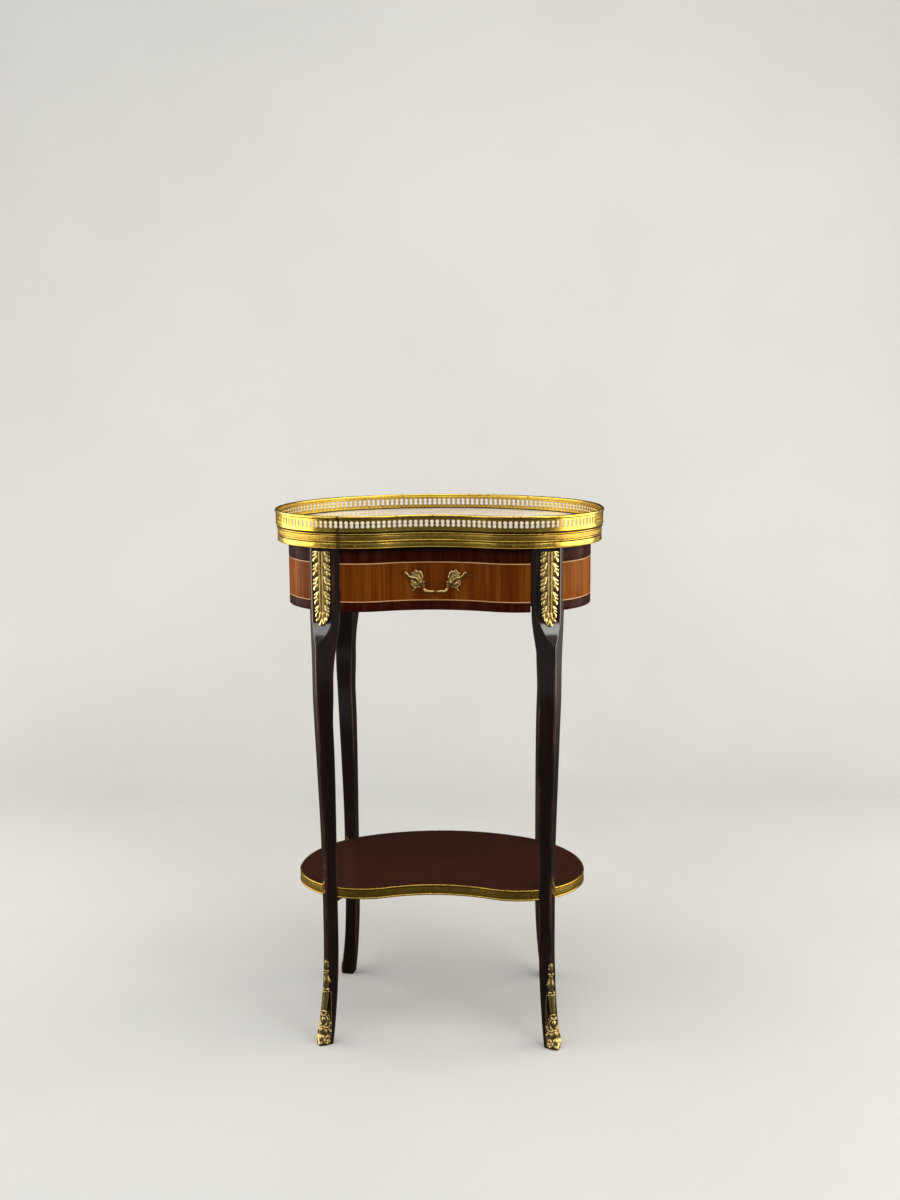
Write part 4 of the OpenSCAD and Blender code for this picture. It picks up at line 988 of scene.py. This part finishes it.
# Foot mounts: a raised border round a sunk ground, a bud, beads and a vase above, then a fluted drop, a ring,
# leaf scrolls and a rounded cluster at the toe. Every form is taken on both sides of the corner.
# A blob is (across, up, half width, half height, rise), a scroll a line of (across, up), a radius and a rise.
sabot = {"high": 115.0, "rows": 340, "cols": 87, "ground": 0.8, "most": 3.9, "border": 1.35, "borderWide": 0.9,
         "borderTop": 73.0, "dropLow": 46.5, "dropHigh": 73.5, "dropHalf": 4.8, "vaseLow": 76.5,
         "vaseHigh": 98.8, "budLow": 101.0, "bend": 1.6,
         "wideAt": [0, 3, 8, 14, 22, 34, 46, 58, 68, 72, 75, 77.5, 80, 83, 87, 91, 95, 98, 100, 102, 105, 108,
                    111, 113.5, 115],
         "wide": [10.5, 12.2, 13.0, 13.0, 12.2, 11.2, 10.2, 9.2, 8.2, 6.6, 4.7, 3.2, 4.2, 5.7, 5.7, 4.2, 2.7,
                  3.0, 3.9, 2.2, 3.4, 3.1, 3.2, 2.4, 0.9],
         "blobs": [(2.4, 75, 2.1, 1.9, 2.6), (1.9, 100, 1.7, 1.6, 2.5), (0.0, 108.8, 2.2, 6.4, 1.9),
                   (2.3, 106.0, 1.3, 2.2, 1.5), (2.0, 111.3, 1.2, 1.9, 1.4), (5.6, 84.6, 1.5, 1.9, 1.8),
                   (7.0, 70.8, 1.5, 1.9, 1.7), (0.0, 34.5, 2.2, 4.2, 2.1), (0.0, 21.0, 2.8, 5.0, 2.3),
                   (4.0, 18.0, 2.6, 4.2, 2.1), (0.0, 10.5, 2.8, 4.6, 2.7), (3.4, 5.2, 3.0, 4.4, 2.8),
                   (7.4, 2.6, 2.7, 3.2, 2.3), (10.4, 4.0, 2.0, 3.4, 2.1), (8.4, 19.5, 2.1, 3.2, 1.8),
                   (0.0, 2.6, 2.8, 3.4, 2.7), (3.4, 29.0, 5.2, 9.5, 0.5), (8.6, 25.0, 3.6, 8.0, 0.5),
                   (5.0, 12.0, 8.0, 9.0, 0.9)],
         "scrolls": [
             ([(0.0, 46.4), (2.0, 45.2), (2.6, 43.2), (1.8, 41.2), (0.0, 40.4)], 1.15, 2.4),
             ([(1.0, 40.0), (3.4, 37.0), (5.0, 33.0), (4.6, 28.8), (2.8, 27.0)], 1.4, 1.9),
             ([(5.8, 39.0), (7.0, 34.5), (8.0, 30.5), (7.4, 27.6)], 1.15, 1.4),
             ([(0.8, 25.4), (3.2, 23.6), (6.0, 23.6), (8.6, 25.4), (9.6, 28.6)], 1.25, 1.9),
             ([(10.9, 18.0), (11.4, 12.0), (9.8, 7.2), (6.8, 6.6), (5.4, 9.2), (6.8, 12.2), (8.6, 11.4)], 1.5,
              2.5)]}


def awayFrom(a, z, line):
    # the distance from each point to the nearest piece of a broken line
    best = np.full(a.shape, 1e9)
    for (x0, z0), (x1, z1) in zip(line[:-1], line[1:]):
        t = clamp(((a - x0) * (x1 - x0) + (z - z0) * (z1 - z0)) / ((x1 - x0) ** 2 + (z1 - z0) ** 2))
        best = np.minimum(best, np.hypot(a - x0 - t * (x1 - x0), z - z0 - t * (z1 - z0)))
    return best


def sabotRelief(a, z, wide):
    # ground + the fourth root of the sum of fourth powers of the forms, so that they melt where they meet
    far = np.abs(a)
    forms = [rise * np.sqrt(clamp(1 - ((far - across) / halfWide) ** 2 - ((z - up) / halfHigh) ** 2))
             for across, up, halfWide, halfHigh, rise in sabot["blobs"]]
    for line, radius, rise in sabot["scrolls"]:
        forms.append(rise * roundOver(awayFrom(far, z, smoothPath(line, 24)) / radius))
    fall, edge = sabot["borderTop"] - z, sabot["borderWide"]
    reach = clamp(fall / 3) * clamp((z - 1) / 3)
    forms.append(sabot["border"] * reach * roundOver((wide - edge - far) / edge))
    half = sabot["dropHalf"] - 0.06 * fall
    inDrop = clamp((z - sabot["dropLow"]) / 2.5) * clamp((sabot["dropHigh"] - z) / 1.5)
    for place, rise in ((0.0, 1.9), (0.64, 1.7)):
        forms.append(rise * inDrop * roundOver((far - place * half) / (0.33 * half)))
    inVase = clamp((z - sabot["vaseLow"]) / 1.2) * clamp((sabot["vaseHigh"] - z) / 1.2)
    forms.append(inVase * (1.5 + 1.1 * bump(z, 85.5, 5.5)) * roundOver(far / (wide + 0.1)) ** 1.3)
    forms.append(0.9 * clamp((z - sabot["budLow"]) / 1.5) * roundOver(far / (wide + 0.2)))
    total = sum(np.clip(form, 0, None) ** 4 for form in forms) ** 0.25
    # fine veins on the leaves
    vein = 0.05 * np.cos(2 * math.pi * (far + 0.35 * z) / 1.5) * clamp(total / 1.5) * (z < 42)
    swell = 0.55 * roundOver(far / (wide + 0.5)) * (z < 76)
    return np.clip(sabot["ground"] + swell + total + vein, 0.5, sabot["most"]), total


def sabotShape(side, end):
    # the relief is laid round the leg's corner, and sinks to a thin rim at its edges and foot
    z = np.linspace(0.0, sabot["high"], sabot["rows"])[:, None]
    s = np.linspace(-1, 1, sabot["cols"])[None]
    wide = sum(np.interp(z + move, sabot["wideAt"], sabot["wide"]) * share
               for move, share in ((-1.3, 0.3), (0, 0.4), (1.3, 0.3)))
    a = wide * s
    lift, total = sabotRelief(a, z, wide)
    # low parts of the relief are painted darker, part patina and part painted shade
    deep = clamp((1.5 - total) / 1.1) * (0.84 + 0.16 * eased((z - 38) / 14))
    low = np.sqrt(np.clip(1 - 0.72 * (1 - z / 3.0) ** 2 * (z < 3.0), 0.12, 1))
    lift = lift * (0.35 + 0.65 * clamp((1 - np.abs(s)) / 0.05) ** 0.6) * low
    along, across = legWays(side, end)
    c = legCorner(side, end, z[:, 0])[:, None]
    # round the corner: the base runs along one face, turns on a small radius and runs along the other
    soft = sabot["bend"]
    bend = clamp(a / (2 * soft) + 0.5)[..., None]
    onFirst, onOther = np.clip(-a, soft, None)[..., None], np.clip(a, soft, None)[..., None]
    curve = ((1 - bend) ** 2 * along + bend ** 2 * across) * soft
    flat = np.where(np.abs(a)[..., None] < soft, c + curve,
                    np.where(a[..., None] < 0, c + along * onFirst, c + across * onOther))
    turn = (eased(clamp(a / 5.0 + 0.5)) * math.pi / 2)[..., None]
    way = -across * np.cos(turn) - along * np.sin(turn)
    base = raised(flat, z)
    outward = np.dstack([way, np.zeros(a.shape)])
    return shell(base, outward, lift, hollow=deep)


addAtCorners("sabot", "cast", sabotShape, "footBronze", 60)
print("foot mounts made")


# Tubes along smooth paths, for the handle.
def tube(points, radii, count=40, sides=12, facing=(0.0, -1.0, 0.0)):
    # circles across the path: path + r * (cos a * across + sin a * up), drawn to a round end at both ends
    path = smoothPath(points, count)
    radius = np.interp(np.linspace(0, 1, count), np.linspace(0, 1, len(radii)), radii)
    run = np.concatenate([[0.0], np.cumsum(np.linalg.norm(np.diff(path, axis=0), axis=1))])
    near = np.minimum(run, run[-1] - run)
    radius = radius * np.sqrt(clamp(1 - (1 - clamp(near / radius)) ** 2))
    forward = np.gradient(path, axis=0)
    facing = np.asarray(facing, float)
    across = unit(np.cross(forward, facing))
    up = unit(np.cross(across, forward))
    a = np.linspace(0, 2 * math.pi, sides + 1)
    ring = (path[:, None] + radius[:, None, None] * (np.cos(a)[None, :, None] * across[:, None]
                                                      + np.sin(a)[None, :, None] * up[:, None]))
    # painted shade: the half of each tube turned away from the facing direction is painted darker
    low = np.broadcast_to(clamp(0.55 + 0.9 * np.sin(a))[None], ring.shape[:2])
    hollow = low if np.dot(up.mean(0), facing) < 0 else 1 - low
    return part(ring, gridFaces(count, sides + 1), hollow=hollow * 0.8)


def ball(centre, radii, rows=9, cols=14, hollow=0.0):
    # centre + radii * (sin v cos a, sin v sin a, cos v)
    v = np.linspace(0, math.pi, rows)[:, None]
    a = np.linspace(0, 2 * math.pi, cols + 1)[None]
    points = np.dstack([np.sin(v) * np.cos(a) * radii[0], np.sin(v) * np.sin(a) * radii[1],
                        np.cos(v) * np.ones_like(a) * radii[2]]) + np.asarray(centre, float)
    return part(points, gridFaces(rows, cols + 1), hollow=np.full(points.shape[:2], hollow))


# A lobe of the bail's leaves is (x, radius, half length, rise over the bar).
handle = {"pivotY": -115.9, "pivotZ": 624.0, "half": 17.0, "drop": 12.0, "ringAt": 2.6,
          "ring": (0.8, 2.25, 2.25),
          "lobes": ((14.3, 1.85, 1.7, 3.0), (13.0, 2.1, 2.4, 1.2), (10.4, 2.28, 3.3, 0.1), (7.0, 2.2, 3.0, 0.0),
                    (4.6, 1.8, 1.8, 0.0))}


def frontFace(x):
    # the drawer's hollow face: centre y + square root of (radius squared - x squared)
    return arcs[0, 1] + np.sqrt((arcs[0, 2] + apron["outer"]) ** 2 - np.asarray(x, float) ** 2)


def onFace(places, rises):
    # (x, z) on the drawer's face, lifted off it by each rise
    places = np.asarray(places, float)
    return np.stack([places[:, 0], frontFace(places[:, 0]) - np.asarray(rises, float), places[:, 1]], -1)


def spiral(centre, start, end, turns, first, count=26):
    # radius falls evenly from start to end while the angle runs through the turns
    t = np.linspace(0, 1, count)
    a = first + turns * 2 * math.pi * t
    r = start + (end - start) * t
    return np.stack([centre[0] + r * np.cos(a), centre[1] + r * np.sin(a)], -1)


# A strand is a line of (x, z), its least and most rise off the face, and its radii, lobed at a leaf's rim.
# A cushion is (x, z), half width, half height and thickness; a bead is (x, z), its rise and its radii.
mount = {"strands": [
    ([(22.4, 622.6), (23.0, 626.4), (26.0, 628.9), (30.0, 629.6), (33.4, 630.8), (35.8, 633.0), (37.7, 636.2),
      (36.6, 638.0)], (2.4, 3.0), [1.3, 1.8, 2.2, 1.9, 2.3, 1.8, 2.2, 2.1, 1.6]),
    ([(18.6, 619.2), (18.7, 624.0), (19.8, 627.6), (22.8, 631.0), (27.2, 632.4), (31.4, 631.8)], (1.4, 2.8),
     [0.9, 1.4, 1.3, 1.7, 1.3, 1.4, 0.9]),
    ([(20.4, 628.4), (21.4, 631.8), (24.4, 634.4), (29.0, 634.5)], (1.8, 2.5), [0.7, 1.2, 1.3, 1.1, 0.9]),
    ([(16.6, 625.8), (17.2, 630.6), (18.8, 634.4), (22.4, 636.9), (26.2, 637.4), (29.6, 635.6), (32.2, 632.8)],
     (1.2, 2.0), [0.8, 1.7, 1.2, 2.0, 1.2, 2.0, 1.2, 1.8, 1.0]),
    ([(18.2, 632.4), (18.4, 636.0), (20.2, 637.8), (22.4, 636.6)], (1.2, 2.2), [0.8, 1.3, 1.0, 1.2, 0.7]),
    ([(23.6, 637.4), (25.6, 639.2), (27.8, 638.2)], (1.2, 1.8), [0.8, 1.2, 0.7]),
    ([(29.0, 627.4), (30.8, 624.4), (30.6, 620.6), (28.8, 617.4)], (1.4, 1.8), [0.9, 1.6, 1.1, 1.6, 0.9]),
    ([(28.8, 619.8), (27.8, 617.2), (25.0, 616.4), (22.0, 617.6), (18.8, 616.0)], (1.6, 1.9),
     [0.9, 1.5, 1.1, 1.5, 0.9]),
    ([(20.8, 619.6), (21.0, 623.6), (22.6, 626.6)], (1.8, 2.3), [0.8, 1.3, 0.8]),
    ([(19.2, 622.4), (16.0, 623.6), (13.2, 624.6)], (0.9, 1.6), [1.2, 1.0, 0.6]),
    ([(25.4, 617.6), (27.4, 614.8), (29.4, 612.0)], (0.9, 1.5), [1.2, 1.0, 0.6])],
         "scroll": (26.4, 622.6), "scrollRadii": [1.2, 1.5, 1.2, 1.3, 0.9],
         "beads": [((26.4, 622.4), 3.2, (2.0, 1.7, 2.0)), ((20.6, 636.2), 2.2, (1.5, 1.4, 1.4))],
         "cushions": [((24.2, 626.0), 7.8, 6.8, 1.9), ((23.0, 632.4), 6.4, 4.6, 1.7),
                      ((24.2, 620.4), 6.4, 4.4, 1.7)]}


def mountParts():
    # strands of leaf, a scroll in the middle, beads, a low cushion under them and the lug with the bail's eye
    parts = []
    for places, (least, most), radii in mount["strands"]:
        rises = least + (most - least) * np.sin(np.linspace(0.4, 2.4, len(places)))
        parts.append(tube(onFace(places, rises), radii, 8 * len(places)))
    parts.append(tube(onFace(spiral(mount["scroll"], 3.7, 1.3, 0.95, 2.6), np.linspace(2.2, 3.0, 26)),
                      mount["scrollRadii"], 50))
    parts += [ball(onFace([place], [rise])[0], radii) for place, rise, radii in mount["beads"]]
    for (x, z), wide, high, deep in mount["cushions"]:
        # the cushion is painted darker, painted shade under the strands
        parts.append(ball((x, frontFace(x) - 0.1, z), (wide, deep, high), 12, 24, 0.6))
    # the lug that reaches out to the eye of the bail
    eye = (handle["half"] + 2.3, handle["pivotY"], handle["pivotZ"])
    lug = [(eye[0] + 1.6, frontFace(21.0) - 0.6, 625.0), (eye[0] + 0.6, handle["pivotY"] + 3.2, 624.6), eye]
    parts.append(tube(lug, [2.4, 2.1, 2.2], 30, 14, (0.0, 0.0, 1.0)))
    parts.append(ball(eye, (1.7, 2.6, 2.6), 13, 20, 0.1))
    return parts


mountShape = joined(mountParts())
addPiece("handleMount_right", mountShape, "drawer", "handleBronze", ["handle_mount_right"], 60)
addPiece("handleMount_left", mirrored(mountShape), "drawer", "handleBronze", ["handle_mount_left"], 60)


def bailShape():
    # a bar hung between the two eyes, with lobed leaves wrapped round it and a ring on each side
    y, z, half, drop = handle["pivotY"], handle["pivotZ"], handle["half"], handle["drop"]
    side = [(half + 2.9, z), (half + 0.6, z), (half - 1.0, z - 1.4), (half - 1.4, z - 4.6),
            (half - 1.5, z - 7.8), (half - 2.9, z - 10.6), (half - 6.4, z - drop), (4.0, z - drop)]
    path = np.array([(x, y, h) for x, h in side] + [(-x, y, h) for x, h in side[::-1]])
    radii = np.array([1.08, 1.08, 1.35, 1.5, 1.5, 1.55, 1.5, 1.4, 1.4, 1.5, 1.55, 1.5, 1.5, 1.35, 1.08, 1.08])
    parts = [tube(path, radii, 150, 14, (0.0, 1.0, 0.0))]
    low = z - drop
    for way in (-1, 1):
        # a leaf wraps the bar on each side: overlapping lobes, largest near the corner
        for x, r, long, rise in handle["lobes"]:
            parts.append(ball((way * x, y, low + rise), (long, r, r), 9, 14, 0.1))
        parts.append(ball((way * handle["ringAt"], y, low), handle["ring"], 9, 16, 0.0))
    return joined(parts)


addPiece("bailCast", bailShape(), "bail", "giltBronze", ["bail"], 60)
print("handle made")


# Small brass heads of the pins, as low domes on the two bands.
# A place is an arc of the outline and an angle on it in degrees; each but the middle one is also mirrored.
pins = {"radius": 1.2, "rise": 0.5,
        "moulding": [("front", 90), ("lobe", -92), ("lobe", -64), ("lobe", -5), ("shoulder", 36), ("back", 78)],
        "shelf": [("front", 90), ("lobe", -83), ("lobe", -50), ("lobe", -5), ("shoulder", 28), ("back", 78)]}


def pinDomes(inset, angles, height):
    # a dome at each place: rows of circles that shrink as they rise
    arcOf = {"front": 0, "lobe": 1, "shoulder": 2, "back": 3}
    parts = []
    for kind, degrees in angles:
        cx, cy, radius, grows = arcs[arcOf[kind], :4]
        a = math.radians(degrees)
        outward = -grows * np.array([math.cos(a), math.sin(a), 0.0])
        centre = np.array([cx + (radius + grows * inset) * math.cos(a),
                           cy + (radius + grows * inset) * math.sin(a), height])
        v, w = np.linspace(0, math.pi / 2, 6)[:, None], np.linspace(0, 2 * math.pi, 17)[None]
        tangent = np.array([-outward[1], outward[0], 0.0])
        flat = pins["radius"] * np.cos(v)
        rise = pins["rise"] * np.sin(v)
        points = (centre + flat[..., None] * np.cos(w)[..., None] * tangent
                  + flat[..., None] * np.sin(w)[..., None] * np.array([0.0, 0.0, 1.0])
                  + (rise - 0.05)[..., None] * outward)
        one = part(points, gridFaces(6, 17) + [list(range(16))])
        parts.append(one)
        if abs(degrees - 90) > 0.5:
            parts.append(mirrored(one))
    return joined(parts)


for name, inset, height, node in (("moulding", 3.2, 673.9, "moulding_pins"),
                                  ("shelf", 22.9, 206.75, "shelf_band_pins")):
    addPiece(name + "Pins", pinDomes(inset, pins[name], height), "table", "pinBrass", [node],
             60)

# Carried-over solids that keep their own shape get their finish here.
kept = {"railOak": ["apron_end_left", "apron_end_right", "apron_back", "top_panel", "corner_blocks",
                    "drawer_runner_left", "drawer_runner_right", "side_guide_left", "side_guide_right",
                    "kicker_left", "kicker_right", "drawer_stops"],
        "drawerOak": ["drawer_side_left", "drawer_side_right"],
        "bottomOak": ["drawer_front", "drawer_back", "drawer_bottom", "shelf_dowels"],
        "shelfMahogany": ["shelf_board"], "blockWood": ["shelf_blocks"],
        "boltSteel": ["handle_bolts", "handle_nuts"]}
for finish, names in kept.items():
    for name in names:
        slots = cadNodes[name].data.materials
        if len(slots):
            slots[0] = finishes[finish]
        else:
            slots.append(finishes[finish])
print("carried-over solids finished")


# Stage: a pale floor that curves up into a backdrop.
stage = {"half": 4.0, "near": -4.0, "wall": 1.9, "bend": 0.9, "high": 3.2, "pale": (0.6, 0.6, 0.59),
         "paler": (0.64, 0.64, 0.63), "glossNear": (0.03, 0.029, 0.027), "glossFar": (0.3, 0.3, 0.3)}


def stageShape():
    # flat floor, a quarter circle, then an upright wall
    a = np.linspace(0, math.pi / 2, 24)
    y = np.concatenate([
        [stage["near"]],
        stage["wall"] - stage["bend"] + stage["bend"] * np.sin(a),
        [stage["wall"]]])
    z = np.concatenate([[0.0], stage["bend"] * (1 - np.cos(a)), [stage["high"]]])
    x = np.array([-stage["half"], stage["half"]])
    points = np.dstack([np.broadcast_to(x[None], (len(y), 2)), np.broadcast_to(y[:, None], (len(y), 2)),
                        np.broadcast_to(z[:, None], (len(z), 2))]).reshape(-1, 3)
    return points, gridFaces(len(y), 2)


def makeStageFinish():
    # pale grey, with another tone for rays from polished faces
    material, tree, shader = newFinish("paleFloor", {"Specular IOR Level": 0.2})
    place = objectVector(tree)
    colour = mixed(tree, remap(tree, noise(tree, place, 1.2, 3.0), 0.35, 0.65), stage["pale"], stage["paler"])
    # polished faces see a darker floor, so that the varnish keeps its depth; this painted reflection is dark
    # near the table and brighter towards the sides, as painted window light
    seen = put(tree, "LightPath").outputs
    across = maths(tree, "ABSOLUTE", put(tree, "SeparateXYZ", {0: place}).outputs[0])
    inGloss = mixed(tree, remap(tree, across, 0.8, 1.7, smooth=True), stage["glossNear"], stage["glossFar"])
    colour = mixed(tree, seen["Is Glossy Ray"], colour, inGloss)
    rough = remap(tree, noise(tree, place, 6.0, 2.0), 0.3, 0.7, 0.55, 0.7)
    wire(tree, shader, {"Base Color": colour, "Roughness": rough})
    return material


floorPoints, floorFaces = stageShape()
floorMesh = bpy.data.meshes.new("paleBackdrop")
floorMesh.from_pydata(floorPoints.tolist(), [], floorFaces)
floorMesh.shade_smooth()
floorMesh.materials.append(makeStageFinish())
floorPiece = bpy.data.objects.new("paleBackdrop", floorMesh)
scene.collection.objects.link(floorPiece)

# Lamps: a broad soft one on each side, one above and one at each front corner.
lamps = {
    "left": {"at": (-2.0, 0.0, 0.77), "to": (0, -0.1, 0.6), "size": (2.3, 1.62), "power": 34.0,
             "tint": (1.0, 0.93, 0.83)},
    "right": {"at": (2.0, 0.0, 0.77), "to": (0, -0.1, 0.6), "size": (2.3, 1.62), "power": 38.0,
              "tint": (1.0, 0.92, 0.81)},
    "top": {"at": (0.1, -0.5, 2.7), "to": (0, 0, 0.7), "size": (1.5, 1.3), "power": 23.0,
            "tint": (1.0, 0.97, 0.92)},
    "leftFront": {"at": (-1.9, -1.9, 1.75), "to": (0, 0, 0.55), "size": (1.3, 1.0), "power": 12.0,
                  "tint": (0.97, 0.98, 1.0)},
    "rightFront": {"at": (1.9, -1.9, 1.75), "to": (0, 0, 0.55), "size": (1.3, 1.0), "power": 20.0,
                   "tint": (1.0, 0.98, 0.95)}}


def setFrame(item, right, up, back, place):
    # the three axes and the place as the columns of the item's matrix
    rows = np.column_stack([right, up, back, place])
    item.matrix_world = Matrix([*rows.tolist(), [0.0, 0.0, 0.0, 1.0]])


def aim(item, place, target):
    # the item's own -z axis points from its place to the target
    back = unit(np.array(place, float) - np.array(target, float))
    right = unit(np.cross([0.0, 0.0, 1.0], back))
    setFrame(item, right, np.cross(back, right), back, place)


for name, spec in lamps.items():
    data = bpy.data.lights.new(name + "Lamp", "AREA")
    data.shape = "RECTANGLE"
    data.size, data.size_y = spec["size"]
    data.energy = spec["power"]
    data.color = spec["tint"]
    lamp = bpy.data.objects.new(name + "Lamp", data)
    scene.collection.objects.link(lamp)
    aim(lamp, spec["at"], spec["to"])

roomTones = {"light": (0.42, 0.43, 0.44), "low": (0.11, 0.105, 0.1), "high": (0.42, 0.43, 0.45)}
world = bpy.data.worlds.new("softRoom")
scene.world = world
world.use_nodes = True
worldTree = world.node_tree
worldTree.nodes.clear()
# what polished faces see: dark at the height of the table, paler overhead
height = put(worldTree, "SeparateXYZ", {0: put(worldTree, "TexCoord").outputs["Generated"]}).outputs[2]
mirrorTone = mixed(worldTree, remap(worldTree, height, 0.05, 0.75, smooth=True), roomTones["low"],
                   roomTones["high"])
tone = mixed(worldTree, put(worldTree, "LightPath").outputs["Is Glossy Ray"], roomTones["light"], mirrorTone)
room = put(worldTree, "Background", {"Color": tone, "Strength": 1.0})
worldEnd = put(worldTree, "OutputWorld")
worldTree.links.new(room.outputs[0], worldEnd.inputs[0])

# Camera at the photograph's place: heading, pitch and roll in degrees, lens for a 36 mm long side.
camera = {"at": (0.1215, -1.997, 0.921), "heading": 3.138, "down": 9.638, "roll": 0.368, "lens": 44.76}


def placeCamera(spec):
    # forward from heading and pitch, then up and right turned by the roll
    turn, down, roll = (math.radians(spec[key]) for key in ("heading", "down", "roll"))
    forward = np.array([-math.sin(turn) * math.cos(down), math.cos(turn) * math.cos(down), -math.sin(down)])
    right0 = np.array([math.cos(turn), math.sin(turn), 0.0])
    up0 = np.cross(right0, forward)
    up = up0 * math.cos(roll) + right0 * math.sin(roll)
    right = right0 * math.cos(roll) - up0 * math.sin(roll)
    data = bpy.data.cameras.new("photoCamera")
    data.sensor_width = 36.0
    data.lens = spec["lens"]
    item = bpy.data.objects.new("photoCamera", data)
    scene.collection.objects.link(item)
    setFrame(item, right, up, -forward, spec["at"])
    scene.camera = item


placeCamera(camera)
scene.view_settings.view_transform = "Standard"
print("stage, lamps and camera placed")
